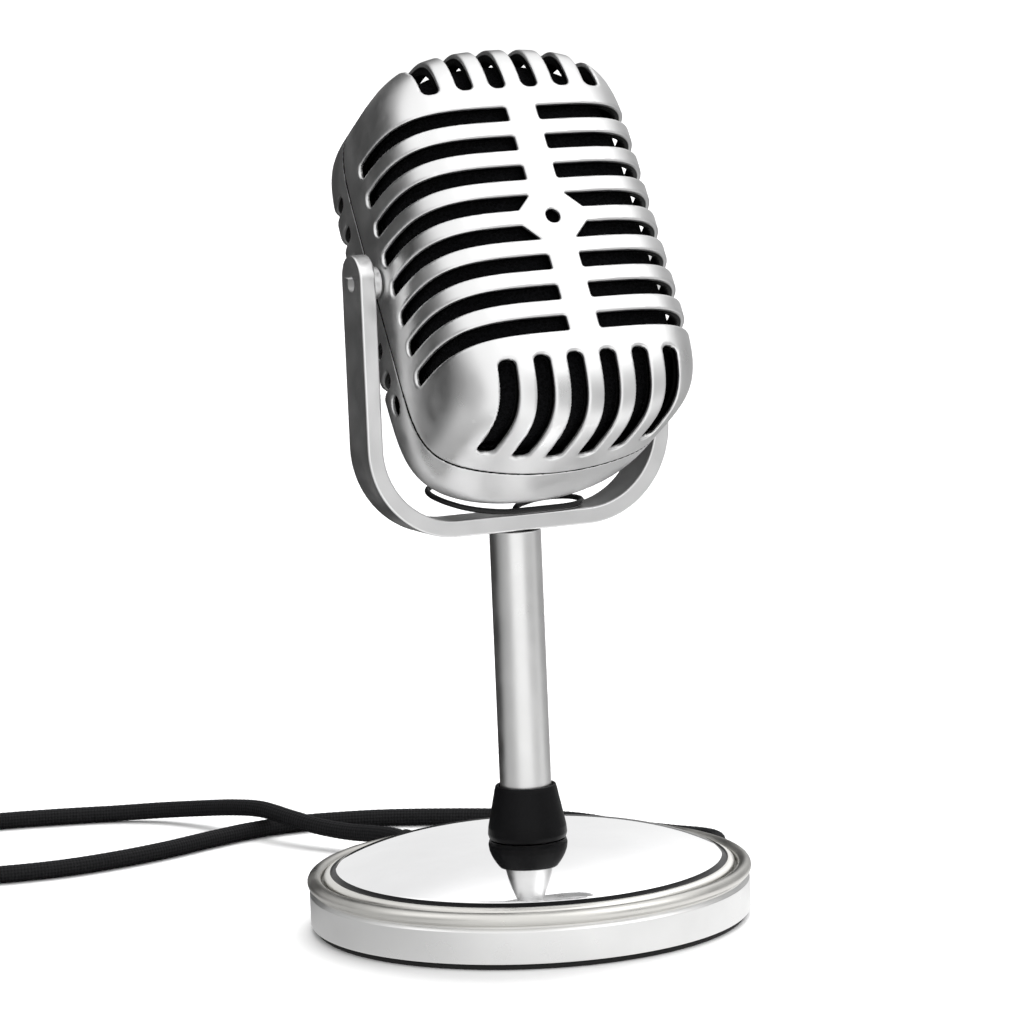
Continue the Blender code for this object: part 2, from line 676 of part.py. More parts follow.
def make_pivot(hand, label, chrome, steel, swivel, pivot):
    """A stud fixed in the arm, the spacer on it, and the friction nut inside the head."""
    inner = YOKE_HALF_WIDTH - BAND_THICKNESS
    frame = along((0, 0, PIVOT_HEIGHT), (hand, 0, 0))
    stud = turned(f"pivot_stud_{label}", disc(STUD_RADIUS, STUD_INNER, STUD_OUTER, 0.2 * MM), steel, sides=20, frame=frame)
    seat_yoke(stud, swivel)
    spacer = turned(
        f"pivot_spacer_{label}",
        ring(STUD_HOLE, SPACER_RADIUS, HEAD_HALF_WIDTH + GAP, inner - GAP, 0.4 * MM),
        chrome,
        sides=24,
        frame=frame,
    )
    seat_yoke(spacer, swivel)
    flat = HEAD_HALF_WIDTH - CHASSIS_INSET - CHASSIS_THICKNESS - GAP
    nut = prism(
        f"pivot_nut_{label}", hexagon(5.5 * MM), flat - NUT_THICKNESS, flat, steel, frame=along((0, 0, 0), (hand, 0, 0))
    )
    nut.parent = pivot
    bore = turned(
        f"pivot_nut_bore_{label}",
        disc(STUD_HOLE, 0, 40 * MM),
        steel,
        pivot,
        sides=20,
        frame=along((0, 0, 0), (hand, 0, 0)),
    )
    cut(nut, bore)


def make_head(chrome, satin, black, foam, rubber, steel, brass, pivot):
    front = half_shell("front_shell", -1, chrome, pivot)
    rear = half_shell("rear_shell", 1, satin, pivot)
    front_cuts = joined("front_slots", level_slots(-1, black) + upright_slots(black), black)
    rear_cuts = joined("rear_slots", level_slots(1, black), black)
    middle_z = FIRST_SLOT_Z - 3.5 * SLOT_PITCH
    middle_hole = turned(
        "middle_hole",
        disc(MIDDLE_HOLE_RADIUS, 20 * MM, 40 * MM),
        black,
        sides=16,
        frame=along((0, 0, middle_z), (0, -1, 0)),
    )
    stud_bore = turned(
        "stud_bore", disc(STUD_HOLE, -40 * MM, 40 * MM), black, sides=20, frame=along((0, 0, 0), (1, 0, 0))
    )
    lead_bore = turned(
        "lead_bore", disc(LEAD_EXIT_RADIUS, 14 * MM, 30 * MM), black, sides=16, frame=along(LEAD_EXIT, (0, 1, 0))
    )
    for cutter in (front_cuts, rear_cuts, middle_hole, stud_bore, lead_bore):
        cutter.parent = pivot
    cut(front, front_cuts, middle_hole, stud_bore)
    cut(rear, rear_cuts, lead_bore)
    chassis = chassis_ring(steel, pivot)
    cut(chassis, stud_bore)
    make_side_screws(rear, chassis, steel, black, pivot)
    head_core(foam, brass, rubber, pivot)


def make_side_screws(rear, chassis, steel, black, pivot):
    """A screw sunk in each side of the rear shell, below the pivots, into the chassis ring."""
    for hand, label in ((-1, "left"), (1, "right")):
        frame = along(SIDE_SCREW, (hand, 0, 0))
        hole = turned(f"side_hole_{label}", disc(SIDE_HOLE_RADIUS, 25.6 * MM, 40 * MM), black, pivot, sides=20, frame=frame)
        thread = turned(f"side_thread_{label}", disc(1.3 * MM, 15 * MM, 30 * MM), black, pivot, sides=16, frame=frame)
        cut(rear, hole)
        cut(chassis, thread)
        head = HEAD_HALF_WIDTH - SIDE_SCREW_SINK
        profile = [
            (0, head - 6 * MM),
            (1.0 * MM, head - 6 * MM),
            (1.0 * MM, head - 1.2 * MM),
            (1.9 * MM, head - 0.4 * MM),
            (1.9 * MM, head),
            (0, head),
        ]
        turned(f"side_screw_{label}", profile, steel, pivot, sides=16, frame=frame)


def make_cords(black, rubber, gold):
    outside = BASE_RADIUS + 0.2 * MM - RELIEF_START_Y
    relief = [
        (1.4 * MM, 0),
        (RELIEF_NECK, 0),
        (RELIEF_NECK, outside),
        (3.9 * MM, outside),
        (3.9 * MM, outside + 2.0 * MM),
        (2.7 * MM, RELIEF_END_Y - RELIEF_START_Y),
        (1.4 * MM, RELIEF_END_Y - RELIEF_START_Y),
    ]
    frame = along((0, RELIEF_START_Y, EXIT_Z), (0, 1, 0))
    turned("strain_relief", relief, rubber, sides=24, frame=frame)
    tube("cord_from_base", CORD_OUT, CORD_RADIUS, CORD_SPACING, black)
    tube("cord_to_plug", CORD_BACK, CORD_RADIUS, CORD_SPACING, black)
    half_width, half_height = COIL_WIDTH / 2, COIL_HEIGHT / 2
    corner = 2 * MM
    outline = []
    for side_x, side_z, start in ((1, -1, 270), (1, 1, 0), (-1, 1, 90), (-1, -1, 180)):
        centre = (
            COIL_MEAN_RADIUS + side_x * (half_width - corner),
            half_height + side_z * (half_height - corner),
        )
        outline += arc(centre, corner, start, start + 90, 1)
    turned("cord_coil", outline, black, sides=32, frame=Matrix.Translation(COIL_CENTRE))
    make_tie(rubber)
    make_plug(black, gold)


def make_tie(rubber):
    """The band round the coil's bundle, an open loop that stands on the floor."""
    inside_x, inside_z = COIL_WIDTH / 2 + 0.8 * MM, COIL_HEIGHT + GAP
    outside_x, outside_z = inside_x + 0.8 * MM, inside_z + 0.8 * MM
    outline = [
        (-outside_x, 0),
        (-inside_x, 0),
        (-inside_x, inside_z),
        (inside_x, inside_z),
        (inside_x, 0),
        (outside_x, 0),
        (outside_x, outside_z),
        (-outside_x, outside_z),
    ]
    outward = Vector((-1, 0.34, 0)).normalized()
    place = COIL_CENTRE + outward * COIL_MEAN_RADIUS
    sideways = Vector((-outward.y, outward.x, 0))
    frame = Matrix.Translation(place) @ Matrix((
        (outward.x, 0, sideways.x, 0),
        (outward.y, 0, sideways.y, 0),
        (0, 1, 0, 0),
        (0, 0, 0, 1),
    ))
    prism("coil_tie", outline, -3.5 * MM, 3.5 * MM, rubber, frame=frame)


def make_plug(black, gold):
    """A 3.5 mm plug: moulded grip and contact pin."""
    direction = PLUG_TIP - PLUG_BACK
    frame = along(PLUG_BACK, direction)
    grip = [
        (0, 0),
        (2.3 * MM, 0),
        (3.0 * MM, 6 * MM),
        (3.6 * MM, 7.5 * MM),
        (3.6 * MM, PLUG_GRIP_LENGTH - 0.5 * MM),
        (3.2 * MM, PLUG_GRIP_LENGTH),
        (0, PLUG_GRIP_LENGTH),
    ]
    turned("plug_grip", grip, black, sides=24, frame=frame)
    start = PLUG_GRIP_LENGTH + GAP
    pin = [
        (0, start),
        (2.6 * MM, start),
        (2.6 * MM, start + 1.0 * MM),
        (1.75 * MM, start + 1.0 * MM),
        (1.75 * MM, start + 11.4 * MM),
        (1.2 * MM, start + 12.0 * MM),
        (1.7 * MM, start + 13.2 * MM),
        (0.6 * MM, start + 15.0 * MM),
        (0, start + 15.0 * MM),
    ]
    turned("plug_pin", pin, gold, sides=20, frame=frame)


def main():
    clear_scene()
    chrome = finish("polished chrome", (0.80, 0.80, 0.81), 0.12, 1.0)
    satin = finish("satin nickel", (0.70, 0.70, 0.69), 0.30, 1.0)
    black = finish("black plastic", (0.02, 0.02, 0.022), 0.45, 0.0)
    rubber = finish("black rubber", (0.03, 0.03, 0.03), 0.75, 0.0)
    foam = finish("black foam", (0.015, 0.015, 0.016), 0.95, 0.0)
    steel = finish("zinc steel", (0.55, 0.55, 0.56), 0.40, 1.0)
    brass = finish("capsule can", (0.62, 0.60, 0.55), 0.35, 1.0)
    gold = finish("gold plate", (0.85, 0.65, 0.30), 0.22, 1.0)

    swivel = bpy.data.objects.new("yoke_swivel", None)
    swivel.location = (0, 0, YOKE_BOTTOM)
    pivot = bpy.data.objects.new("head_pivot", None)
    pivot.location = (0, 0, PIVOT_HEIGHT - YOKE_BOTTOM)
    pivot.rotation_euler = (REST_TILT, 0, 0)
    pivot.parent = swivel
    for empty in (swivel, pivot):
        bpy.context.scene.collection.objects.link(empty)

    make_base(chrome, satin, black, rubber, steel)
    make_stem(satin, black, steel)
    make_yoke(chrome, black, steel, swivel, pivot)
    make_head(chrome, satin, black, foam, rubber, steel, brass, pivot)
    tube("head_lead", HEAD_LEAD, LEAD_RADIUS, 2.6 * MM, black)
    tube("stem_lead", STEM_LEAD, LEAD_RADIUS, 4.0 * MM, black)
    make_cords(black, rubber, gold)


main()
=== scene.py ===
"""The desktop microphone's looks: fine meshes, materials, cord, studio and camera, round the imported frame."""
import json
import math

import bmesh
import bpy
import numpy as np
from mathutils import Matrix, Vector


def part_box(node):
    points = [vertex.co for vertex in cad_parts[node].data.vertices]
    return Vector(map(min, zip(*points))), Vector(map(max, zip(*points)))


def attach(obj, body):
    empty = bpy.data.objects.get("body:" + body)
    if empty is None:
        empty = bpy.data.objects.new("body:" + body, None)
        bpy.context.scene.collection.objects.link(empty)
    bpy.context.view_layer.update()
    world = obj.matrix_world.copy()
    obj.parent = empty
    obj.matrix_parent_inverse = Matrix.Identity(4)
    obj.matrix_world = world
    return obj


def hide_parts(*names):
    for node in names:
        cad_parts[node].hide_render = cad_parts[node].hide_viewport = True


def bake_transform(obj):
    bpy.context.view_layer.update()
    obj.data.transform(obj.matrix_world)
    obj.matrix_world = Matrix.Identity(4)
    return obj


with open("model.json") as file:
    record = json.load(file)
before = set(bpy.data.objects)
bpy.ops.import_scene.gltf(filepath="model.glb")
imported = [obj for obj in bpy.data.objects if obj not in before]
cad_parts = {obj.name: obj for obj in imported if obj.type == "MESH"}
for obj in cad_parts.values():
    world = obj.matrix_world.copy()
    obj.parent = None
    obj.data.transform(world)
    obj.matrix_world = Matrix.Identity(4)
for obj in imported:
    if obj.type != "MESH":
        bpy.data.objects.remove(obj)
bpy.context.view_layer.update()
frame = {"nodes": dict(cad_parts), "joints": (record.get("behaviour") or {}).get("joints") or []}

MM = 0.001
PIVOT = Vector(next(j for j in frame["joints"] if j["name"] == "head_tilt")["pos_m"])
REST_TILT = math.radians(-30.4)
HEAD_FRAME = Matrix.Translation(PIVOT) @ Matrix.Rotation(REST_TILT, 4, "X")
SEAM_Y = 2.5 * MM
# A point on the seam's plane, the way the plane faces, and half the width of the black line painted along it as
# painted shade in the gap between the shells.
SEAM_SHADE_BAND = (HEAD_FRAME @ Vector((0, SEAM_Y, 0)), HEAD_FRAME.to_3x3() @ Vector((0, 1, 0)), 0.30 * MM)

# ---------------- camera and studio

AIM = Vector((0, 0, 95)) * MM
CAMERA_DISTANCE = 885.8 * MM
CAMERA_AZIMUTH = math.radians(-25.14)
CAMERA_ELEVATION = math.radians(7.08)
CAMERA_ROLL = -0.0417
CAMERA_LENS = 149.2
CAMERA_SHIFT = (-0.0078, -0.0259)
FLOOR_TONE = 0.88
FLOOR_HALF = 6.0
BACKDROP_RADIUS = 5.8
BACKDROP_GLOW = 1.1
SUN_STRENGTH = 3.0
SUN_SPREAD = math.radians(50)
SUN_TOWARDS = (0.35, 0.45, 0.8)
# Soft boxes: the way each lies from the head, how far off, its two sides in metres, and its brightness.
KEY_LIGHT = ((0.42, -0.55, 0.72), 0.9, (0.7, 0.7), 0.9)
DOME_LIGHT = ((0.42, 0.90, 0.30), 1.0, (4.0, 4.0), 0.84)
RIM_LIGHT = ((-0.70, 0.50, 0.45), 1.0, (1.4, 1.4), 0.45)


def add_object(name, data):
    """A new object in the scene, with that mesh, camera or light."""
    obj = bpy.data.objects.new(name, data)
    bpy.context.scene.collection.objects.link(obj)
    return obj


def make_camera():
    data = bpy.data.cameras.new("camera")
    data.lens = CAMERA_LENS
    data.sensor_width = 36
    data.shift_x, data.shift_y = CAMERA_SHIFT
    data.clip_start, data.clip_end = 0.01, 50
    level = Vector((math.cos(CAMERA_AZIMUTH), math.sin(CAMERA_AZIMUTH), 0))
    away = Vector((math.sin(CAMERA_AZIMUTH), -math.cos(CAMERA_AZIMUTH), 0))
    back = away * math.cos(CAMERA_ELEVATION) + Vector((0, 0, math.sin(CAMERA_ELEVATION)))
    rise = back.cross(level)
    right = math.cos(CAMERA_ROLL) * level + math.sin(CAMERA_ROLL) * rise
    up = back.cross(right)
    camera = add_object("camera", data)
    turn = Matrix((right, up, back)).transposed().to_4x4()
    camera.matrix_world = Matrix.Translation(AIM + back * CAMERA_DISTANCE) @ turn
    bpy.context.scene.camera = camera


def soft_light(name, setting, *receivers):
    """A soft box that faces the head. With receivers, it lights only them."""
    towards, distance, size, radiance = setting
    data = bpy.data.lights.new(name, "AREA")
    data.shape = "RECTANGLE"
    data.size, data.size_y = size
    data.energy = radiance * math.pi * size[0] * size[1]
    light = add_object(name, data)
    direction = Vector(towards).normalized()
    light.matrix_world = along(PIVOT + direction * distance, direction)
    if receivers:
        lit = bpy.data.collections.new(name)
        for obj in receivers:
            lit.objects.link(obj)
        light.light_linking.receiver_collection = lit


def along(origin, direction):
    """A place at origin whose Z axis runs in that direction."""
    turn = Vector(direction).to_track_quat("Z", "Y").to_matrix().to_4x4()
    return Matrix.Translation(Vector(origin)) @ turn


def add_node(tree, kind, inputs, **settings):
    """A shader node with its settings and its inputs, each a value or another node's socket."""
    made = tree.nodes.new("ShaderNode" + kind)
    for key, value in settings.items():
        setattr(made, key, value)
    for key, value in inputs.items():
        if isinstance(value, bpy.types.NodeSocket):
            tree.links.new(value, made.inputs[key])
        else:
            made.inputs[key].default_value = value
    return made


def vector_math(tree, operation, first, second=(0, 0, 0)):
    """The socket with what a calculation on vectors gives: a number from a product or a distance."""
    made = add_node(tree, "VectorMath", {0: first, 1: second}, operation=operation)
    return made.outputs["Value" if operation in ("DOT_PRODUCT", "DISTANCE") else "Vector"]


def number_math(tree, operation, first, second):
    return add_node(tree, "Math", {0: first, 1: second}, operation=operation).outputs[0]


def map_range(tree, source, low, high, to_low, to_high, blend="LINEAR"):
    """A socket that runs from to_low to to_high as source runs from low to high."""
    inputs = {"Value": source, "From Min": low, "From Max": high, "To Min": to_low, "To Max": to_high}
    return add_node(tree, "MapRange", inputs, interpolation_type=blend).outputs["Result"]


def floor_material():
    made = bpy.data.materials.new("floor")
    made.use_nodes = True
    shader = made.node_tree.nodes["Principled BSDF"]
    shader.inputs["Base Color"].default_value = (FLOOR_TONE, FLOOR_TONE, FLOOR_TONE, 1)
    shader.inputs["Roughness"].default_value = 1.0
    shader.inputs["Specular IOR Level"].default_value = 0.0
    return made


ROOM_GLOW = 1.12
# Dimmer patches of the room that the metal mirrors: each a direction, the cosines where it starts and is
# full, and what share of the glow is left in it.
ROOM_PATCHES = [
    ((-0.26, 0.96, 0.09), 0.32, 0.80, 0.05),
    ((-0.88, 0.47, 0.03), 0.77, 0.98, 0.55),
    ((-0.98, -0.18, -0.09), 0.76, 0.99, 0.42),
    ((0.56, -0.82, -0.12), 0.81, 0.985, 0.50),
    ((0.98, 0.17, 0.00), 0.64, 0.97, 0.35),
    ((0.18, 0.68, -0.71), 0.50, 0.94, 0.42),
]
FLOOR_VIEWPOINT = Vector((0, 0, 75)) * MM
# The floor's dim side, beside the base: its middle, its reach, and the share of the glow left in its middle.
FLOOR_DIM = (Vector((-62, 5, 0)) * MM, 100 * MM, 0.42)


def room_glow(tree, direction):
    """A socket with the room's brightness in a direction, given as a socket that holds a unit vector."""
    glow = ROOM_GLOW
    for towards, start, full, left in ROOM_PATCHES:
        aim = vector_math(tree, "DOT_PRODUCT", direction, Vector(towards).normalized())
        share = map_range(tree, aim, start, full, 1.0, left, "SMOOTHSTEP")
        glow = number_math(tree, "MULTIPLY", glow, share)
    return glow


def floor_glow(tree):
    """The room's glow that the floor sends up, as seen from FLOOR_VIEWPOINT, and dimmer beside the base."""
    place = tree.nodes.new("ShaderNodeNewGeometry").outputs["Position"]
    unit = vector_math(tree, "NORMALIZE", vector_math(tree, "SUBTRACT", place, FLOOR_VIEWPOINT))
    dim, reach, left = FLOOR_DIM
    share = map_range(tree, vector_math(tree, "DISTANCE", place, dim), 0.0, reach, left, 1.0)
    return number_math(tree, "MULTIPLY", room_glow(tree, unit), share)


def glow_material(name, strength_of):
    """A glow whose strength is what strength_of makes of the material's tree: a number or a socket."""
    made = bpy.data.materials.new(name)
    made.use_nodes = True
    tree = made.node_tree
    tree.nodes.remove(tree.nodes["Principled BSDF"])
    glow = add_node(tree, "Emission", {"Strength": strength_of(tree)})
    tree.links.new(glow.outputs[0], tree.nodes["Material Output"].inputs["Surface"])
    return made


def seen_only_by(obj, camera=False, glossy=False):
    obj.visible_camera = camera
    obj.visible_glossy = glossy
    obj.visible_diffuse = obj.visible_shadow = obj.visible_transmission = False
    bpy.context.scene.collection.objects.link(obj)


def square(name, half, height, material):
    mesh = bpy.data.meshes.new(name)
    corners = [(-half, -half, height), (half, -half, height), (half, half, height), (-half, half, height)]
    mesh.from_pydata(corners, [], [(0, 1, 2, 3)])
    mesh.materials.append(material)
    return bpy.data.objects.new(name, mesh)


def make_world():
    world = bpy.data.worlds.new("studio")
    world.use_nodes = True
    tree = world.node_tree
    place = tree.nodes.new("ShaderNodeTexCoord")
    background = tree.nodes["Background"]
    background.inputs["Color"].default_value = (1, 1, 1, 1)
    tree.links.new(room_glow(tree, place.outputs["Generated"]), background.inputs["Strength"])
    bpy.context.scene.world = world


def make_studio():
    scene = bpy.context.scene
    scene.view_settings.view_transform = "Standard"
    scene.view_settings.look = "None"
    make_world()
    floor = square("floor", FLOOR_HALF, 0.0, floor_material())
    scene.collection.objects.link(floor)
    floor.visible_glossy = False
    shine = glow_material("floor_shine", floor_glow)
    seen_only_by(square("floor_shine", FLOOR_HALF, 0.1 * MM, shine), glossy=True)
    bpy.ops.mesh.primitive_uv_sphere_add(segments=48, ring_count=24, radius=BACKDROP_RADIUS)
    dome = bpy.context.object
    dome.name = "backdrop"
    bpy.context.collection.objects.unlink(dome)
    dome.data.materials.append(glow_material("backdrop", lambda tree: BACKDROP_GLOW))
    seen_only_by(dome, camera=True)

    sun = bpy.data.lights.new("sun", "SUN")
    sun.energy = SUN_STRENGTH
    sun.angle = SUN_SPREAD
    light = add_object("sun", sun)
    light.matrix_world = along((0, 0, 0), SUN_TOWARDS)
    light.visible_glossy = False
    soft_light("key", KEY_LIGHT)


# ---------------- mesh helpers


def add_piece(name, points, faces, *materials):
    """A piece whose points are in the world's frame, shaded smooth."""
    mesh = bpy.data.meshes.new(name)
    mesh.from_pydata([tuple(p) for p in points], [], [tuple(f) for f in faces])
    work = bmesh.new()
    work.from_mesh(mesh)
    bmesh.ops.remove_doubles(work, verts=work.verts, dist=1e-7)
    bmesh.ops.recalc_face_normals(work, faces=work.faces)
    work.to_mesh(mesh)
    work.free()
    mesh.shade_smooth()
    for made in materials:
        mesh.materials.append(made)
    return add_object(name, mesh)


def flat_normals(obj):
    """Shading that keeps the flats flat beside their rounded edges."""
    modifier = obj.modifiers.new("weighted normals", "WEIGHTED_NORMAL")
    modifier.weight = 100
    return obj


def rounded(profile, radii, steps=5):
    """A closed outline with each corner rounded by its radius."""
    count = len(profile)
    radii = [radii] * count if isinstance(radii, (int, float)) else radii
    straight = 0.02
    found = []
    for at in range(count):
        before, here, after = (Vector(profile[(at + k) % count]) for k in (-1, 0, 1))
        to_before, to_after = before - here, after - here
        room = min(to_before.length, to_after.length) * 0.49
        angle = to_before.angle(to_after, 0.0)
        if radii[at] <= 0 or angle < straight or angle > math.pi - straight:
            found.append(tuple(here))
            continue
        cut = min(radii[at] / math.tan(angle / 2), room)
        radius = cut * math.tan(angle / 2)
        inward = (to_before.normalized() + to_after.normalized()).normalized()
        middle = here + inward * radius / math.sin(angle / 2)
        start = here + to_before.normalized() * cut - middle
        end = here + to_after.normalized() * cut - middle
        sweep = start.angle(end)
        for step in range(steps + 1):
            share = step / steps
            mixed = math.sin((1 - share) * sweep) * start + math.sin(share * sweep) * end
            found.append(tuple(middle + mixed / math.sin(sweep)))
    return found


def in_metres(outline):
    return [(r * MM, z * MM) for r, z in outline]


def lathe(name, profile, materials, sides=192, place=None, slot_of=None):
    """A closed outline of (radius, height) points turned round the Z axis of place."""
    place = place or Matrix.Identity(4)
    count = len(profile)
    points = []
    for turn in range(sides):
        angle = 2 * math.pi * turn / sides
        cosine, sine = math.cos(angle), math.sin(angle)
        points += [place @ Vector((r * cosine, r * sine, z)) for r, z in profile]
    faces = []
    for turn in range(sides):
        here, after = turn * count, (turn + 1) % sides * count
        for at in range(count):
            nxt = (at + 1) % count
            if profile[at][0] > 1e-9 or profile[nxt][0] > 1e-9:
                faces.append((here + at, after + at, after + nxt, here + nxt))
    obj = add_piece(name, points, faces, *materials)
    if slot_of:
        for face in obj.data.polygons:
            face.material_index = slot_of(place.inverted() @ face.center)
    return flat_normals(obj)


def spline(knots, spacing):
    """Points about spacing apart on a smooth curve through the knots."""
    knots = [Vector(k) for k in knots]
    knots = [2 * knots[0] - knots[1]] + knots + [2 * knots[-1] - knots[-2]]
    dense = []
    for a, b, c, d in zip(knots, knots[1:], knots[2:], knots[3:]):
        for step in range(16):
            t = step / 16
            square_part = (2 * a - 5 * b + 4 * c - d) * t**2
            cube_part = (3 * b - a - 3 * c + d) * t**3
            dense.append(0.5 * (2 * b + (c - a) * t + square_part + cube_part))
    dense.append(knots[-2])
    dense = np.array(dense)
    walked = np.concatenate([[0], np.cumsum(np.linalg.norm(np.diff(dense, axis=0), axis=1))])
    wanted = np.linspace(0, walked[-1], round(walked[-1] / spacing) + 1)
    return np.stack([np.interp(wanted, walked, dense[:, k]) for k in range(3)], axis=1), walked[-1]


def tube(name, path, radius_at, sides, material):
    """A round tube along a path, with UVs: U once round, V in metres along.

    radius_at(u, v) gives its radius."""
    path = np.asarray(path)
    tangents = np.gradient(path, axis=0)
    tangents /= np.linalg.norm(tangents, axis=1)[:, None]
    length = np.concatenate([[0], np.cumsum(np.linalg.norm(np.diff(path, axis=0), axis=1))])
    normal = np.cross(tangents[0], (0, 0, 1.0))
    share = np.arange(sides) / sides
    rings = []
    for place, tangent, walked in zip(path, tangents, length):
        normal = normal - tangent * normal.dot(tangent)
        normal /= np.linalg.norm(normal)
        other = np.cross(tangent, normal)
        angle = 2 * math.pi * share[:, None]
        reach = radius_at(share, walked)[:, None]
        rings.append(place + reach * (np.cos(angle) * normal + np.sin(angle) * other))
    points = np.concatenate(rings + [path[:1], path[-1:]])
    count = len(path)
    grid = np.arange(count * sides).reshape(count, sides)
    turned = np.roll(grid, -1, axis=1)
    quads = np.stack([grid[:-1], turned[:-1], turned[1:], grid[1:]], axis=-1).reshape(-1, 4)
    start, end = count * sides, count * sides + 1
    caps = [(start, b, a) for a, b in zip(grid[0], turned[0])]
    caps += [(end, a, b) for a, b in zip(grid[-1], turned[-1])]
    mesh = bpy.data.meshes.new(name)
    mesh.from_pydata(points.tolist(), [], quads.tolist() + [tuple(int(v) for v in c) for c in caps])
    uv = mesh.uv_layers.new(name="along")
    u_low = np.tile(share, count - 1)
    v_low, v_high = np.repeat(length[:-1], sides), np.repeat(length[1:], sides)
    corners = np.zeros((len(quads) * 4 + len(caps) * 3, 2), np.float32)
    corners[: len(quads) * 4] = np.stack(
        [u_low, v_low, u_low + 1 / sides, v_low, u_low + 1 / sides, v_high, u_low, v_high], axis=1
    ).reshape(-1, 2)
    uv.data.foreach_set("uv", corners.ravel())
    mesh.shade_smooth()
    mesh.materials.append(material)
    return add_object(name, mesh)


def dress(node, material, bevel=0.0):
    """A CAD node kept as it is, with its fine material and, in millimetres, softer edges."""
    obj = frame["nodes"][node]
    obj.data.materials.clear()
    obj.data.materials.append(material)
    if bevel:
        modifier = obj.modifiers.new("soft edges", "BEVEL")
        modifier.width = bevel * MM
        modifier.segments = 3
        modifier.limit_method = "ANGLE"
        modifier.angle_limit = math.radians(40)
    return obj


def ride_for(obj, body, slot, *nodes):
    """obj moves with body and stands for the CAD nodes; slot is not used."""
    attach(obj, body)
    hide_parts(*nodes)


# ---------------- materials


NOISE_ROUGHNESS = 0.55


class Shader:
    """A material under construction, with its nodes made and linked by short calls."""

    def __init__(self, name, metallic=0.0):
        self.material = bpy.data.materials.new(name)
        self.material.use_nodes = True
        self.tree = self.material.node_tree
        self.inputs = self.tree.nodes["Principled BSDF"].inputs
        self.inputs["Metallic"].default_value = metallic
        self.coordinates = self.tree.nodes.new("ShaderNodeTexCoord")
        self.normal = None

    def noise(self, scale, detail=3.0):
        """A noise texture, with scale its features per metre."""
        inputs = {"Vector": self.coordinates.outputs["Object"], "Scale": scale}
        inputs |= {"Detail": detail, "Roughness": NOISE_ROUGHNESS}
        return add_node(self.tree, "TexNoise", inputs).outputs["Fac"]

    def math(self, operation, first, second=0.0):
        return number_math(self.tree, operation, first, second)

    def span(self, source, low, high, to_low, to_high):
        return map_range(self.tree, source, low, high, to_low, to_high)

    def mix(self, factor, first, second):
        """A colour between two, each a colour or a socket."""
        first, second = ((*c, 1) if isinstance(c, tuple) else c for c in (first, second))
        inputs = {"Factor": factor, 6: first, 7: second}
        return add_node(self.tree, "Mix", inputs, data_type="RGBA").outputs[2]

    def worn_tone(self, colour, clouds, shades, rubbed):
        """Two shades of a colour in clouds, and a third on rubbed edges: its sharpness, share and shade."""
        low, high = shades
        sharpness, share, pale = rubbed
        edges = self.tree.nodes.new("ShaderNodeNewGeometry").outputs["Pointiness"]
        tone = self.mix(clouds, shade(colour, low), shade(colour, high))
        worn = self.span(edges, WORN_EDGE, sharpness, 0, share)
        return self.mix(worn, tone, shade(colour, pale))

    def plane_mask(self, point, direction, reach):
        """0 within reach of a plane, 1 a little beyond."""
        offset = vector_math(self.tree, "SUBTRACT", self.coordinates.outputs["Object"], point)
        across = vector_math(self.tree, "DOT_PRODUCT", offset, direction)
        return self.span(self.math("ABSOLUTE", across), reach, reach * 1.3, 0, 1)

    def bump(self, height, depth):
        """Adds a height, from 0 to 1, of that depth in metres."""
        inputs = {"Strength": 1.0, "Distance": depth, "Height": height}
        if self.normal:
            inputs["Normal"] = self.normal
        self.normal = add_node(self.tree, "Bump", inputs).outputs["Normal"]

    def finish(self, colour, roughness):
        self.tree.links.new(colour, self.inputs["Base Color"])
        self.tree.links.new(roughness, self.inputs["Roughness"])
        self.tree.links.new(self.normal, self.inputs["Normal"])
        return self.material


# How far the gloss of metal and of mouldings strays, as a share of it.
METAL_SMUDGE, MOULDED_SMUDGE = 0.25, 0.15
# Black painted as shade: along the head's seam and deep inside its slots.
PAINTED_SHADE_BLACK = (0.003, 0.003, 0.003)
# Where the sharpness of an edge begins to show as wear.
WORN_EDGE = 0.53
# How deep into a slot's wall the chrome's colour reaches; deeper, the wall is painted black as painted shade.
PAINTED_SHADE_DEPTH = 0.75 * MM


def shade(colour, factor):
    return tuple(min(1.0, c * factor) for c in colour)


def metal(name, colour, roughness, grain, grain_depth, seam=None, shade_from_depth=None):
    """Plated metal: faint cloudy tone, uneven gloss, fine grain, and brighter rubbed edges.

    seam is a point, a direction and a distance: nearer the plane through that point, it is painted black, as
    painted shade in the gap between the head's shells.
    The last argument is how deep into a slot the chrome's colour reaches; past it the walls are painted black,
    as painted shade inside the slots."""
    made = Shader(name, metallic=1.0)
    clouds = made.span(made.noise(45, 4), 0.3, 0.7, 0, 1)
    tone = made.worn_tone(colour, clouds, (0.955, 1.03), (0.60, 0.55, 1.12))
    # Painted shade: black on the seam's gap and the rounded edges beside it.
    if seam:
        point, direction, reach = seam
        tone = made.mix(made.plane_mask(point, direction, reach), PAINTED_SHADE_BLACK, tone)
    # Painted shade: the walls deep inside the slots are painted black.
    if shade_from_depth:
        depth = made.tree.nodes.new("ShaderNodeAttribute")
        depth.attribute_name = "wall_depth"
        painted_shade = made.span(depth.outputs["Fac"], shade_from_depth, shade_from_depth * 1.3, 0, 1)
        tone = made.mix(painted_shade, tone, PAINTED_SHADE_BLACK)
    fine = made.noise(grain, 2)
    smudge = made.noise(110, 3)
    gloss = made.span(smudge, 0.3, 0.7, roughness * (1 - METAL_SMUDGE), roughness * (1 + METAL_SMUDGE))
    made.bump(fine, grain_depth)
    return made.finish(tone, gloss)


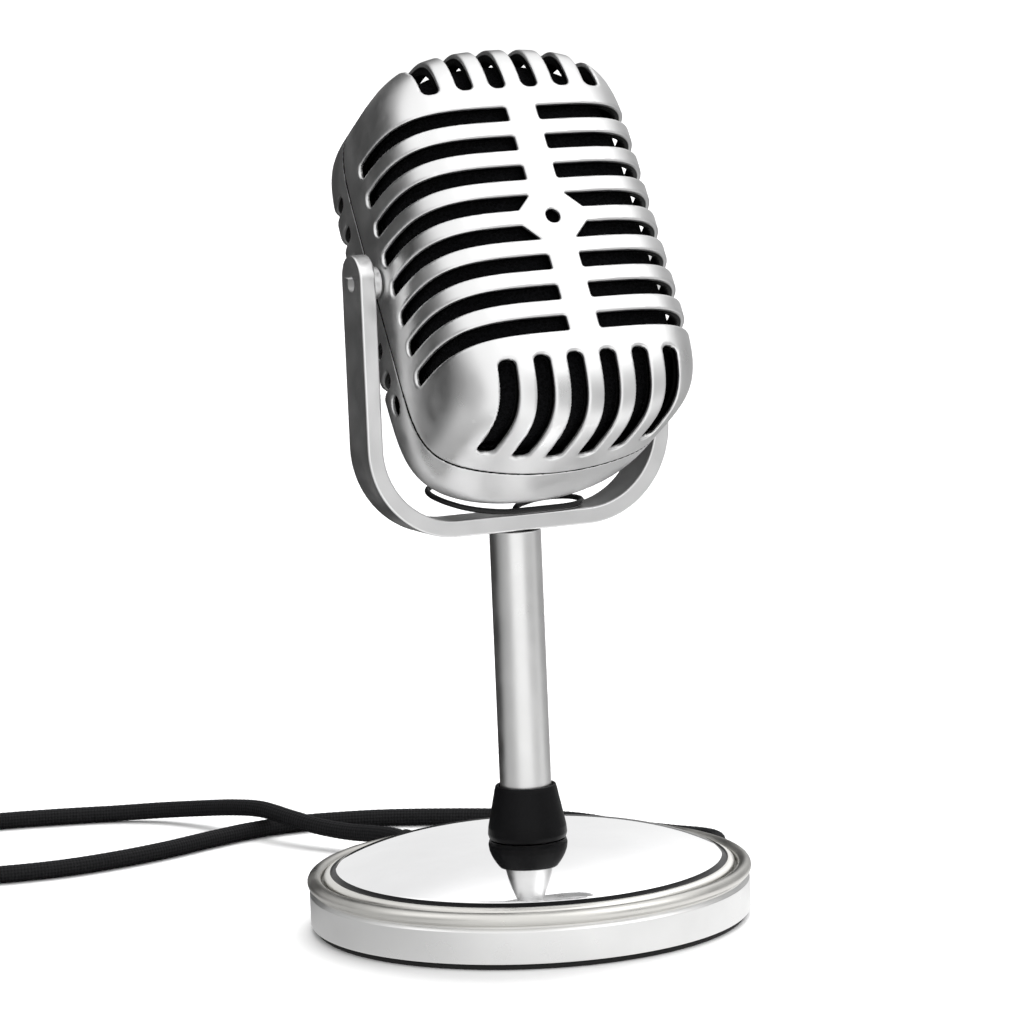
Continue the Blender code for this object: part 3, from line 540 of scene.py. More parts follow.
def moulded(name, colour, roughness, specular, grain=2600, grain_depth=3e-5):
    """Moulded plastic or rubber: fine grain, dust in patches, paler rubbed edges."""
    made = Shader(name)
    clouds = made.noise(80, 4)
    patches = made.span(clouds, 0.35, 0.75, 0, 1)
    tone = made.worn_tone(colour, patches, (0.8, 1.5), (0.62, 0.5, 3.0))
    fine = made.noise(grain, 2)
    gloss = made.span(clouds, 0.3, 0.7, roughness * (1 - MOULDED_SMUDGE), roughness * (1 + MOULDED_SMUDGE))
    made.bump(fine, grain_depth)
    made.inputs["Specular IOR Level"].default_value = specular
    return made.finish(tone, gloss)


def foam_material():
    """Open foam, black, with cells that show as pits, each painted darker towards its middle as painted shade
    in the pit.
    """
    made = Shader("open foam")
    cells = add_node(made.tree, "TexVoronoi", {"Vector": made.coordinates.outputs["Object"], "Scale": 1500})
    # Painted shade: darker in the middle of each cell, where the pit is deepest.
    tone = made.mix(cells.outputs["Distance"], (0.002, 0.002, 0.002), (0.007, 0.007, 0.008))
    made.bump(cells.outputs["Distance"], 4e-4)
    made.inputs["Specular IOR Level"].default_value = 0.05
    return made.finish(tone, made.span(made.noise(300), 0, 1, 0.9, 1.0))


BRAID_CARRIERS = 8
BRAID_PITCH = 12.0 * MM
BRAID_RELIEF = 0.13 * MM


def braid_material():
    """Woven sleeve: two crossing sets of yarns, painted paler where they stand high and darker between them as
    painted shade, with paler flecks painted where the yarn stands proud as painted highlight.
    """
    made = Shader("braided sleeve")
    split = add_node(made.tree, "SeparateXYZ", {0: made.coordinates.outputs["UV"]})
    around = made.math("MULTIPLY", split.outputs["X"], BRAID_CARRIERS * 2 * math.pi)
    onward = made.math("MULTIPLY", split.outputs["Y"], BRAID_CARRIERS * 2 * math.pi / BRAID_PITCH)
    left = made.math("SINE", made.math("ADD", around, onward))
    right = made.math("SINE", made.math("SUBTRACT", around, onward))
    yarn = made.math("MULTIPLY", made.math("ADD", made.math("MULTIPLY", left, right), 1.0), 0.5)
    threads = made.noise(5200, 2)
    # Painted shade and highlight: paler on the yarns' crowns, darker in the hollows between them.
    tone = made.mix(yarn, (0.0015, 0.0015, 0.002), (0.012, 0.012, 0.013))
    # Painted highlight: paler flecks where the fine threads stand proud.
    tone = made.mix(made.span(threads, 0.55, 0.72, 0, 0.5), tone, (0.045, 0.045, 0.048))
    made.bump(yarn, 1.2e-4)
    made.bump(threads, 5e-5)
    made.inputs["Specular IOR Level"].default_value = 0.2
    return made.finish(tone, made.span(threads, 0.3, 0.7, 0.6, 0.85))


CHROME = ((0.84, 0.84, 0.84), 0.36, 4200, 6e-6)
chrome = metal("satin chrome", *CHROME)
# The head's chrome, painted black along the seam and deep in the slots as painted shade.
shell_chrome = metal("head chrome", *CHROME, seam=SEAM_SHADE_BAND, shade_from_depth=PAINTED_SHADE_DEPTH)
polished = metal("polished chrome", (0.90, 0.90, 0.905), 0.05, 3000, 6e-7)
nickel = metal("satin nickel", (0.80, 0.80, 0.795), 0.33, 2400, 4e-6)
bead_metal = metal("brushed bead", (0.68, 0.67, 0.64), 0.34, 3000, 2e-6)
zinc = metal("zinc steel", (0.52, 0.52, 0.53), 0.38, 1800, 2e-5)
gold = metal("gold plate", (0.86, 0.66, 0.31), 0.18, 2500, 5e-6)
can = metal("capsule can", (0.60, 0.58, 0.54), 0.3, 2500, 1e-5)
plastic = moulded("black plastic", (0.004, 0.004, 0.0045), 0.36, 0.10)
lining = moulded("black lining", (0.004, 0.004, 0.004), 0.8, 0.1)
rubber = moulded("black rubber", (0.010, 0.010, 0.010), 0.72, 0.25, 1800, 5e-5)
jacket = moulded("lead jacket", (0.005, 0.005, 0.0055), 0.45, 0.35, 3000, 2e-5)
foam = foam_material()
braid = braid_material()


# ---------------- cord

CORD_RADIUS = 2.0 * MM
CORD_CLEARANCE = 0.02 * MM
CORD_EXIT = (0.0, 47.7 * MM, 5.5 * MM)
COIL_CENTRE = Vector((-116.0, 138.0, 0.0)) * MM
COIL_MEAN_RADIUS = 24.0 * MM
COIL_TURNS = 9
COIL_START = math.radians(90)
COIL_END = math.radians(258)
COIL_STEP = math.radians(12)
# Each turn's place in the coil: how far out from its middle, and its layer.
COIL_SEATS = [(1, 0), (0, 0), (-1, 0), (-1, 1), (0, 1), (-1, 2), (0, 2), (1, 2), (1, 1)]
COIL_CROSSING = 0.2
CORD_OUT = [
    (0, 63.5, 5.5), (0, 66.3, 5.5), (0, 72, 5.4), (-1.5, 79, 4.9), (-5, 87, 4.5), (-9, 95, 4.9),
    (-12.5, 104, 5.8), (-15.5, 114.5, 6.5), (-18.5, 125, 5.6), (-23, 136, 4.1), (-30, 146, 2.8),
    (-40, 153, 2.05), (-52, 157.5, 2.05), (-64, 161, 2.05), (-78, 163.8, 2.05), (-88, 164.6, 2.05),
    (-95.5, 164.4, 2.05),
]
CORD_BACK = [
    (-99.3, 109.0, 2.05), (-92, 105.6, 2.05), (-83, 102.4, 2.05), (-70, 100.8, 2.05), (-57, 102, 2.05),
    (-44, 105.1, 2.05), (-31, 109.8, 2.05), (-19, 113.4, 2.05), (-8, 114.3, 2.05), (4, 111.6, 2.05),
    (16.6, 106, 2.05), (34.8, 93, 2.05), (47.8, 78.7, 2.05), (54.2, 63.5, 2.05), (60.3, 51.6, 2.05),
    (64.5, 44.6, 2.1), (65.4, 39.4, 2.3), (63.9, 34.6, 2.6), (60.3, 31.3, 3.0), (55.2, 30.4, 3.4),
    (49.8, 33.0, 3.7),
]
PLUG_PLACE = along(Vector((49.1, 33.5, 3.7)) * MM, Vector((-19.1, 13.1, 0)))
# How far along the contact pin its two insulating rings start, in millimetres.
INSULATORS = (5.2, 8.3)


def coil_points():
    """The coil's turns, three beside each other in three layers, as points a thirtieth of a turn apart."""
    pitch = 2 * CORD_RADIUS + CORD_CLEARANCE
    low = CORD_RADIUS + 0.05 * MM
    sweep = COIL_END - COIL_START + 2 * math.pi * (COIL_TURNS - 1)
    steps = round(sweep / COIL_STEP)
    points = []
    for step in range(steps + 1):
        angle = sweep * step / steps
        turn = angle / (2 * math.pi)
        seat = min(int(turn), COIL_TURNS - 1)
        here, after = COIL_SEATS[seat], COIL_SEATS[min(seat + 1, COIL_TURNS - 1)]
        share = min(1.0, max(0.0, (turn - seat - (1 - COIL_CROSSING)) / COIL_CROSSING))
        share = share * share * (3 - 2 * share)
        across = here[0] + (after[0] - here[0]) * share
        layer = here[1] + (after[1] - here[1]) * share
        radius = COIL_MEAN_RADIUS + pitch * across
        place = Vector((math.cos(COIL_START + angle), math.sin(COIL_START + angle), 0)) * radius
        points.append(COIL_CENTRE + place + Vector((0, 0, low + pitch * layer)))
    return points


def make_cord():
    knots = [Vector(p) * MM for p in CORD_OUT] + coil_points()[1:-1] + [Vector(p) * MM for p in CORD_BACK]
    path, length = spline(knots, 0.5 * MM)
    path[:, 2] = np.maximum(path[:, 2], CORD_RADIUS + CORD_CLEARANCE)

    def radius_at(share, walked):
        left = np.sin(2 * math.pi * BRAID_CARRIERS * (share + walked / BRAID_PITCH))
        right = np.sin(2 * math.pi * BRAID_CARRIERS * (share - walked / BRAID_PITCH))
        return CORD_RADIUS - BRAID_RELIEF * (1 - left * right) / 2

    cord = tube("mic_cord", path, radius_at, 32, braid)
    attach(cord, "stand")
    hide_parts("cord_from_base", "cord_to_plug", "cord_coil")
    relief = make_strain_relief()
    grip = make_plug_grip()
    pin = make_plug_pin()
    tie = dress("coil_tie", rubber, 0.25)


def make_strain_relief():
    """A tapered rubber boot with grooves that let it bend."""
    low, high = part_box("strain_relief")
    length, wall = (high[1] - low[1]) / MM, (CORD_EXIT[1] - low[1]) / MM
    outline = [(1.4, 0), (2.5, 0), (2.5, wall), (3.9, wall), (3.9, wall + 2.2)]
    ribs = 6
    first = wall + 3.0
    width = (length - 3.0 - first) / ribs
    for rib in range(ribs):
        at = first + width * rib
        radius = 3.45 - 0.75 * rib / ribs
        outline += [(radius, at), (radius - 0.05, at + width * 0.6)]
        outline += [(radius - 0.55, at + width * 0.62), (radius - 0.6, at + width * 0.98)]
    outline += [(2.75, length - 2.6), (2.6, length), (2.06, length)]
    outline += [(2.06, length - 3.2), (1.4, length - 3.4)]
    place = along((0, low[1], CORD_EXIT[2]), (0, 1, 0))
    relief = lathe("relief_boot", in_metres(rounded(outline, 0.18, 3)), [rubber], 64, place)
    ride_for(relief, "stand", "black_rubber", "strain_relief")
    return relief


def make_plug_grip():
    """The moulded grip, with four finger grooves near its cord."""
    outline = [(0, 0), (2.35, 0), (2.9, 5.5)]
    for groove in range(4):
        at = 6.2 + 1.5 * groove
        outline += [(3.0, at), (3.0, at + 0.8), (2.55, at + 0.9), (2.55, at + 1.4)]
    outline += [(3.1, 12.4), (3.6, 13.4), (3.6, 23.5), (0, 23.5)]
    radii = [0] + [0.2] * (len(outline) - 3) + [0.5, 0]
    grip = lathe("plug_body", in_metres(rounded(outline, radii, 4)), [plastic], 64, PLUG_PLACE)
    ride_for(grip, "stand", "black_plastic", "plug_grip")
    return grip


def make_plug_pin():
    """The contact pin: sleeve, ring and tip, parted by black insulating rings."""
    start = 23.8
    radius, sunk = 1.75, 1.72
    outline = [(0, start), (2.6, start), (2.6, start + 1.0), (radius, start + 1.05)]
    for ring in INSULATORS:
        at = start + ring
        outline += [(radius, at), (sunk, at + 0.05), (sunk, at + 0.65), (radius, at + 0.7)]
    outline += [(radius, start + 11.2), (1.22, start + 12.0), (sunk, start + 13.2)]
    outline += [(0.6, start + 14.9), (0, start + 15.0)]
    radii = [0] + [0.12] * (len(outline) - 2) + [0]

    def slot_of(centre):
        at = centre.z / MM - start
        return 1 if any(ring + 0.02 < at < ring + 0.68 for ring in INSULATORS) else 0

    outline = in_metres(rounded(outline, radii, 4))
    pin = lathe("plug_contact", outline, [gold, plastic], 64, PLUG_PLACE, slot_of)
    ride_for(pin, "stand", "gold_plate", "plug_pin")
    return pin


# ---------------- base and stem


WALL_THICKNESS = 1.9 * MM
WALL_BOTTOM = 1.3 * MM
BEAD_RADIUS = 1.5 * MM
BEAD_STEPS = 28
BEAD_FOOT = 8.9 * MM
LEDGE_RADIUS, LEDGE_LOW, LEDGE_HIGH = 40.0 * MM, 8.3 * MM, 10.0 * MM
FOOT_INNER = 41.5 * MM
PLATE_BORE = 5.8 * MM
PLATE_STEPS = 56
TUBE_BORE = 4.3 * MM
PLATE_DROP = 6.2 * MM
PLATE_THICKNESS = 1.0 * MM
PLATE_GROOVE = (41.3 * MM, 42.6 * MM)
PLATE_GROOVE_DEPTH = 0.4 * MM


def plate_height(radius):
    """The dome's top, a flat middle that falls away towards the rim."""
    low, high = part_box("base_dome_plate")
    return high[2] - PLATE_DROP * (radius / high[0]) ** 4


def make_base():
    body_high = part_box("base_body")[1]
    rim, top = body_high[0], body_high[2]
    wall = rim - 0.4 * MM
    inner = wall - WALL_THICKNESS
    neck = wall - 0.65 * MM
    outline = [(inner, WALL_BOTTOM), (wall, WALL_BOTTOM), (wall, 8.0 * MM)]
    outline += [(neck, 8.75 * MM), (neck, 9.1 * MM)]
    for step in range(BEAD_STEPS + 1):
        angle = math.radians(-28 + (190 + 28) * step / BEAD_STEPS)
        across, rise = BEAD_RADIUS * math.cos(angle), BEAD_RADIUS * math.sin(angle)
        outline.append((rim - BEAD_RADIUS + across, top - BEAD_RADIUS + rise))
    outline += [(rim - 3.0 * MM, LEDGE_HIGH), (LEDGE_RADIUS, LEDGE_HIGH)]
    outline += [(LEDGE_RADIUS, LEDGE_LOW), (inner, LEDGE_LOW)]
    radii = [r * MM for r in (0.3, 0.4, 0.25, 0.15, 0.1, *[0] * (BEAD_STEPS + 1), *[0.1] * 4)]

    def on_bead(spot):
        return 1 if spot.z > BEAD_FOOT else 0

    body = lathe("base_wall", rounded(outline, radii), [nickel, bead_metal], 256, None, on_bead)
    soft_light("rim_light", RIM_LIGHT, body)
    ride_for(body, "stand", "satin_metal", "base_body")

    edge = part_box("base_dome_plate")[1][0]
    start, end = PLATE_GROOVE
    slope = 0.1 * MM
    radii = [PLATE_BORE + (start - PLATE_BORE) * step / PLATE_STEPS for step in range(PLATE_STEPS)]
    groove = [(start, 0), (start + slope, PLATE_GROOVE_DEPTH), (end - slope, PLATE_GROOVE_DEPTH), (end, 0)]
    top_line = [(r, plate_height(r)) for r in radii]
    top_line += [(r, plate_height(r) - deep) for r, deep in groove]
    top_line += [(r, plate_height(r)) for r in (0.5 * (end + edge), edge)]
    under_line = [(r, plate_height(r) - PLATE_THICKNESS) for r, _ in top_line]

    # The groove's faces are black plastic: painted shade in the groove. Past it, the rim takes the bead's
    # metal.
    def slot_of(spot):
        radius = math.hypot(spot.x, spot.y)
        if radius > end:
            return 2
        return 1 if radius > start and spot.z > plate_height(radius) - 0.7 * PLATE_THICKNESS else 0

    outline = under_line + top_line[::-1]
    plate = lathe("base_dome", outline, [polished, plastic, bead_metal], 256, None, slot_of)
    ride_for(plate, "stand", "polished_metal", "base_dome_plate")
    soft_light("dome_light", DOME_LIGHT, plate)

    low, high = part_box("foot_ring")
    top = high[2] - 0.2 * MM
    outline = [(FOOT_INNER, 0), (high[0], 0), (high[0], top), (FOOT_INNER, top)]
    foot = lathe("base_foot", rounded(outline, 0.35 * MM), [rubber], 192)
    ride_for(foot, "stand", "black_rubber", "foot_ring")

    dress("base_weight", zinc, 0.4)
    dress("bottom_cover", plastic, 0.2)
    dress("stem_washer", zinc, 0.15)
    dress("stem_nut", zinc, 0.3)
    dress("swivel_bush", plastic)
    dress("stem_lead", jacket)
    for number in (1, 2, 3):
        dress(f"cover_screw_{number}", zinc, 0.1)


def make_stem():
    low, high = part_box("stem_tube")
    outline = [(TUBE_BORE, low[2]), (high[0], low[2]), (high[0], high[2]), (TUBE_BORE, high[2])]
    pipe = lathe("stem_pipe", rounded(outline, 0.3 * MM), [nickel], 128)
    ride_for(pipe, "stand", "satin_metal", "stem_tube")

    low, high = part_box("stem_boot")
    foot, crown, widest = low[2] / MM, high[2] / MM, high[0] / MM
    bore, tip = PLATE_BORE / MM, 6.7
    outline = [(bore, foot), (widest - 0.3, foot), (widest, foot + 1.0), (widest - 0.15, foot + 2.6)]
    outline += [(tip + 0.35, crown - 2.6), (tip, crown - 0.9), (tip - 0.25, crown), (bore, crown)]
    radii = (0.1, 0.3, 0.8, 1.5, 1.5, 0.6, 0.3, 0.15)
    boot = lathe("stem_collar", in_metres(rounded(outline, radii, 6)), [plastic], 128)
    ride_for(boot, "stand", "black_plastic", "stem_boot")


# ---------------- yoke


YOKE_CORNER = 20.0 * MM
BAND_THICKNESS = 3.5 * MM
BAND_EDGE = 0.45 * MM
ARM_STEPS, SIDE_STEPS, CORNER_STEPS = 20, 8, 32
# The bolt hole's radius, its countersink's radius, and how deep the countersink goes.
BOLT_BORE = (2.5 * MM, 4.1 * MM, 1.6 * MM)
STUD_BORE = 1.7 * MM
COLLAR_RADIUS = 3.4 * MM


def bored(piece, cutters):
    """The piece with each cutter's shape taken out of it."""
    for cutter in cutters:
        modifier = piece.modifiers.new("bore", "BOOLEAN")
        modifier.operation = "DIFFERENCE"
        modifier.solver = "EXACT"
        modifier.object = cutter
    bpy.context.view_layer.update()
    graph = bpy.context.evaluated_depsgraph_get()
    mesh = bpy.data.meshes.new_from_object(piece.evaluated_get(graph))
    piece.modifiers.clear()
    piece.data = mesh
    mesh.shade_smooth()
    for cutter in cutters:
        bpy.data.objects.remove(cutter)
    return flat_normals(piece)


def yoke_bores(half_width, bottom):
    """Cutters for the countersunk bolt hole and for the pivot studs' holes."""
    top = bottom + BAND_THICKNESS
    bolt, head, sink = BOLT_BORE
    outline = [(0, bottom - MM), (bolt, bottom - MM), (bolt, top - sink)]
    outline += [(head, top), (head, top + MM), (0, top + MM)]
    inner, outer = half_width - BAND_THICKNESS - MM, half_width + MM
    stud = [(0, inner), (STUD_BORE, inner), (STUD_BORE, outer), (0, outer)]
    cutters = [lathe("bolt_bore", outline, [chrome], 96)]
    for hand in (-1, 1):
        cutters.append(lathe("stud_bore", stud, [chrome], 48, along((0, 0, PIVOT.z), (hand, 0, 0))))
    return cutters


def make_yoke():
    """The band: a rounded rectangle swept along the U, its arm ends rounded like a tongue."""
    low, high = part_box("yoke")
    half_width, bottom, top, half_depth = high[0], low[2], high[2], high[1]
    middle = BAND_THICKNESS / 2
    corner = YOKE_CORNER - middle
    path = []
    end = top - half_depth
    for step in range(ARM_STEPS):
        angle = math.pi / 2 * (1 - step / ARM_STEPS)
        path.append((-half_width + middle, end + half_depth * math.sin(angle), math.cos(angle)))
    straight_foot = bottom + YOKE_CORNER
    for step in range(SIDE_STEPS):
        path.append((-half_width + middle, end + (straight_foot - end) * step / SIDE_STEPS, 1.0))
    for step in range(CORNER_STEPS + 1):
        angle = math.pi + math.pi / 2 * step / CORNER_STEPS
        centre_x = -half_width + YOKE_CORNER
        path.append((centre_x + corner * math.cos(angle), straight_foot + corner * math.sin(angle), 1.0))
    path += [(-x, z, depth) for x, z, depth in reversed(path)]
    corners = [(-middle, -half_depth), (middle, -half_depth), (middle, half_depth), (-middle, half_depth)]
    section = rounded(corners, BAND_EDGE)
    points, count = [], len(section)
    spine = np.array([(x, z) for x, z, _ in path])
    tangents = np.gradient(spine, axis=0)
    tangents /= np.linalg.norm(tangents, axis=1)[:, None]
    for (x, z, depth), (along_x, along_z) in zip(path, tangents):
        for across, y in section:
            edge = half_depth * max(depth, 0.001)
            side = math.copysign(max(0.0, abs(y) - (half_depth - edge)), y)
            points.append((x + along_z * across, side, z - along_x * across))
    faces = [tuple(range(count)), tuple(range((len(path) - 1) * count, len(path) * count))]
    for here in range(0, (len(path) - 1) * count, count):
        for at in range(count):
            nxt = (at + 1) % count
            faces.append((here + at, here + nxt, here + count + nxt, here + count + at))
    yoke = bored(add_piece("yoke_band", points, faces, chrome), yoke_bores(half_width, bottom))
    ride_for(yoke, "yoke", "satin_chrome", "yoke")
    dress("swivel_bolt", zinc, 0.12)
    dress("swivel_nut", zinc, 0.2)
    for label, hand in (("left", -1), ("right", 1)):
        dress(f"pivot_stud_{label}", zinc)
        low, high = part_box(f"pivot_spacer_{label}")
        inner, outer = sorted((abs(low[0]), abs(high[0])))
        outline = [(STUD_BORE, inner), (COLLAR_RADIUS, inner), (COLLAR_RADIUS, outer), (STUD_BORE, outer)]
        place = along((0, 0, PIVOT.z), (hand, 0, 0))
        spacer = lathe(f"pivot_collar_{label}", rounded(outline, 0.35 * MM), [chrome], 64, place)
        ride_for(spacer, "yoke", "satin_chrome", f"pivot_spacer_{label}")


# ---------------- head

SEAM_GAP = 0.3 * MM
HEAD_SIDE = 29.1 * MM
HEAD_UP, HEAD_DOWN = 42.8 * MM, 45.5 * MM
FRONT_DEPTH, REAR_DEPTH = 30.5 * MM, 20.3 * MM
FRONT_POWER, REAR_POWER = 4.4, 3.5
TOP_POWER, BOTTOM_POWER, CHIN_POWER = 6.7, 8.8, 6.0
TOP_ARCH, BOTTOM_ARCH = 0.11, 0.136
WALL = 2.0 * MM
LINING_DEPTH = 1.7 * MM
SLOTS, REAR_SLOTS = 8, 7
DIAMOND_ROWS = (3, 4)
SLOT_PITCH, SLOT_HEIGHT, FIRST_SLOT_Z = 6.9 * MM, 3.4 * MM, 22.9 * MM
RIB_HALF_WIDTH = 3.4 * MM
FRONT_SLOT_END, REAR_SLOT_END = 7.2 * MM, 4.0 * MM
UPRIGHT_SLOTS, UPRIGHT_PITCH, UPRIGHT_WIDTH = 6, 7.35 * MM, 3.7 * MM
LOWER_SLOT_Z, UPPER_SLOT_Z = -31.6 * MM, 29.2 * MM
UPRIGHT_CORNER = 1.5 * MM
INNER_CORNER = 0.5 * MM
# Farther than any point of the head from its middle.
FAR = 60 * MM
# How widely the edges round over: the wall's, the seam's, the slots' and the holes'.
WALL_EDGE, SEAM_EDGE, SLOT_EDGE, HOLE_EDGE = 0.3 * MM, 0.15 * MM, 0.45 * MM, 0.35 * MM
MIDDLE_HOLE_RADIUS = 1.6 * MM
MIDDLE_Z = FIRST_SLOT_Z - 3.5 * SLOT_PITCH
LEAD_EXIT = (-7.0 * MM, -33.2 * MM)
LEAD_EXIT_RADIUS = 1.9 * MM
LEAD_RADIUS = 0.6 * MM
SIDE_SCREW = (7.8 * MM, -24.8 * MM)
SIDE_HOLE_RADIUS = 2.3 * MM
NET_STEP = 0.42 * MM
NET_MARGIN = 1.2 * MM
NET_PULLS = 4
CELL_CORNERS = list(np.ndindex(2, 2, 2))
NUDGE = 0.01 * MM
CORE_HALF = (20.6 * MM, 17.5 * MM, 32.0 * MM)
CORE_MIDDLE = (0.0, -1.0 * MM, -1.5 * MM)
CORE_AROUND_POWER, CORE_UPRIGHT_POWER = 1 / 0.3, 4
LOBE_INSET, LOBE_SOFTNESS, LOBE_BACK_Y = 2.8 * MM, 0.8, -3.6 * MM
POCKET_RADIUS, POCKET_FRONT = 7.3 * MM, -12.3 * MM
FOAM_STEP = 0.9 * MM


def smooth_max(a, b, blend):
    """The larger of two fields, rounded over where they meet."""
    return np.maximum(a, b) + np.maximum(blend - np.abs(a - b), 0) ** 2 / (4 * blend)


def head_level(x, y, z, inset, softness=1.0):
    """How far out a point is, as a share of the head's surface drawn in by inset: 1 on it.

    A softness below 1 rounds that surface's corners further in."""
    wide = HEAD_SIDE - inset
    back, above = y > SEAM_Y, z > 0
    depth = np.where(back, REAR_DEPTH, FRONT_DEPTH) - inset
    around = softness * np.where(back, REAR_POWER, FRONT_POWER)
    across = np.minimum(np.abs(x) / wide, 1.4)
    z = z / (1 - np.where(above, TOP_ARCH, BOTTOM_ARCH) * across**2)
    tall = np.where(above, HEAD_UP, HEAD_DOWN) - inset
    side_part, front_part = across**around, (np.abs(y - SEAM_Y) / depth) ** around
    chin = np.where(back | above, 0, front_part / np.maximum(side_part + front_part, 1e-9))
    power = softness * (np.where(above, TOP_POWER, BOTTOM_POWER) + (CHIN_POWER - BOTTOM_POWER) * chin)
    flat = (side_part + front_part) ** (power / around)
    return (flat + (np.abs(z) / tall) ** power) ** (1 / power)


def distance_outside(level, x, y, z):
    """The distance outside the surface where a level is 1, near it."""
    step = 0.05 * MM
    here = level(x, y, z)
    slope_x = level(x + step, y, z) - here
    slope_y = level(x, y + step, z) - here
    slope_z = level(x, y, z + step) - here
    slope = np.sqrt(slope_x**2 + slope_y**2 + slope_z**2) / step
    return (here - 1) / np.maximum(slope, 1.0)


def head_distance(x, y, z, inset):
    return distance_outside(lambda x, y, z: head_level(x, y, z, inset), x, y, z)


def box_field(a, b, half_a, half_b, radius):
    """Signed distance to a rounded rectangle."""
    over_a, over_b = np.abs(a) - half_a + radius, np.abs(b) - half_b + radius
    outside = np.sqrt(np.maximum(over_a, 0) ** 2 + np.maximum(over_b, 0) ** 2)
    return outside + np.minimum(np.maximum(over_a, over_b), 0) - radius


def level_slot_field(x, y, z, side):
    """The level slots, either side of the middle rib, with round outer ends near the seam."""
    half = SLOT_HEIGHT / 2
    rows = SLOTS if side < 0 else REAR_SLOTS
    end = FRONT_SLOT_END if side < 0 else REAR_SLOT_END
    row = np.clip(np.round((FIRST_SLOT_Z - z) / SLOT_PITCH), 0, rows - 1)
    rise = z - (FIRST_SLOT_Z - row * SLOT_PITCH)
    reach = side * (y - SEAM_Y) - end
    ends = box_field(reach - FAR, rise, FAR, half, half)
    inner = box_field(np.abs(x) - RIB_HALF_WIDTH - FAR, rise, FAR, half, INNER_CORNER)
    if side < 0:
        upper, lower = DIAMOND_ROWS
        near = RIB_HALF_WIDTH + INNER_CORNER
        slant = near + half - np.where(row == upper, rise, -rise) - np.abs(x)
        slanted = np.maximum(slant / math.sqrt(2), np.abs(rise) - half)
        inner = np.where((row == upper) | (row == lower), slanted, inner)
    return np.maximum(ends, inner)


def upright_slot_field(x, y, z):
    """The upright slots that wrap over the crown and under the chin."""
    half = UPRIGHT_WIDTH / 2
    middle = (UPRIGHT_SLOTS - 1) / 2
    column = np.clip(np.round(x / UPRIGHT_PITCH + middle), 0, UPRIGHT_SLOTS - 1) - middle
    across = x - column * UPRIGHT_PITCH
    reach = SEAM_Y - y - FRONT_SLOT_END
    ends = box_field(reach - FAR, across, FAR, half, half)
    low = box_field(LOWER_SLOT_Z - z - FAR, across, FAR, half, UPRIGHT_CORNER)
    high = box_field(z - UPPER_SLOT_Z - FAR, across, FAR, half, UPRIGHT_CORNER)
    return np.maximum(ends, np.minimum(low, high))


def shell_field(x, y, z, side):
    """The front (side -1) or rear (side 1) shell: below zero inside its wall."""
    field = smooth_max(head_distance(x, y, z, 0.0), -head_distance(x, y, z, WALL), WALL_EDGE)
    field = smooth_max(field, SEAM_GAP / 2 - side * (y - SEAM_Y), SEAM_EDGE)
    field = smooth_max(field, -level_slot_field(x, y, z, side), SLOT_EDGE)
    if side < 0:
        field = smooth_max(field, -upright_slot_field(x, y, z), SLOT_EDGE)
        hole = MIDDLE_HOLE_RADIUS - np.hypot(x, z - MIDDLE_Z)
        field = smooth_max(field, np.where(y < 0, hole, -1.0), HOLE_EDGE)
        return smooth_max(field, STUD_BORE - np.hypot(y, z), 0.2 * MM)
    screws = SIDE_HOLE_RADIUS - np.hypot(y - SIDE_SCREW[0], z - SIDE_SCREW[1])
    field = smooth_max(field, screws, HOLE_EDGE)
    lead = LEAD_EXIT_RADIUS - np.hypot(x - LEAD_EXIT[0], z - LEAD_EXIT[1])
    return smooth_max(field, np.where(y > 10 * MM, lead, -1.0), 0.4 * MM)


def net_points(values, cells):
    """A point in each surface cell: the middle of where the surface crosses its edges."""
    total = np.zeros((len(cells), 3))
    crossings = np.zeros(len(cells))
    for start in CELL_CORNERS:
        for axis in range(3):
            if start[axis]:
                continue
            end = tuple(start[k] + (k == axis) for k in range(3))
            first = values[tuple((cells + start).T)]
            last = values[tuple((cells + end).T)]
            crossed = (first < 0) != (last < 0)
            share = np.where(crossed, first / np.where(crossed, first - last, 1), 0)
            place = np.array(start) + share[:, None] * np.subtract(end, start)
            total += place * crossed[:, None]
            crossings += crossed
    return cells + total / crossings[:, None]


def net_faces(inside, index):
    """A quad round each grid edge that the surface crosses, facing out."""
    faces = []
    for axis in range(3):
        u, v = (axis + 1) % 3, (axis + 2) % 3
        at = np.argwhere(np.diff(inside, axis=axis))
        at = at[(at[:, u] > 0) & (at[:, v] > 0)]
        step_u, step_v = np.eye(3, dtype=int)[u], np.eye(3, dtype=int)[v]
        quad = [index[tuple(c.T)] for c in (at, at - step_u, at - step_u - step_v, at - step_v)]
        quad = np.stack(quad, axis=1)
        outward = inside[tuple(at.T)]
        faces.append(np.where(outward[:, None], quad, quad[:, ::-1]))
    return np.concatenate(faces)


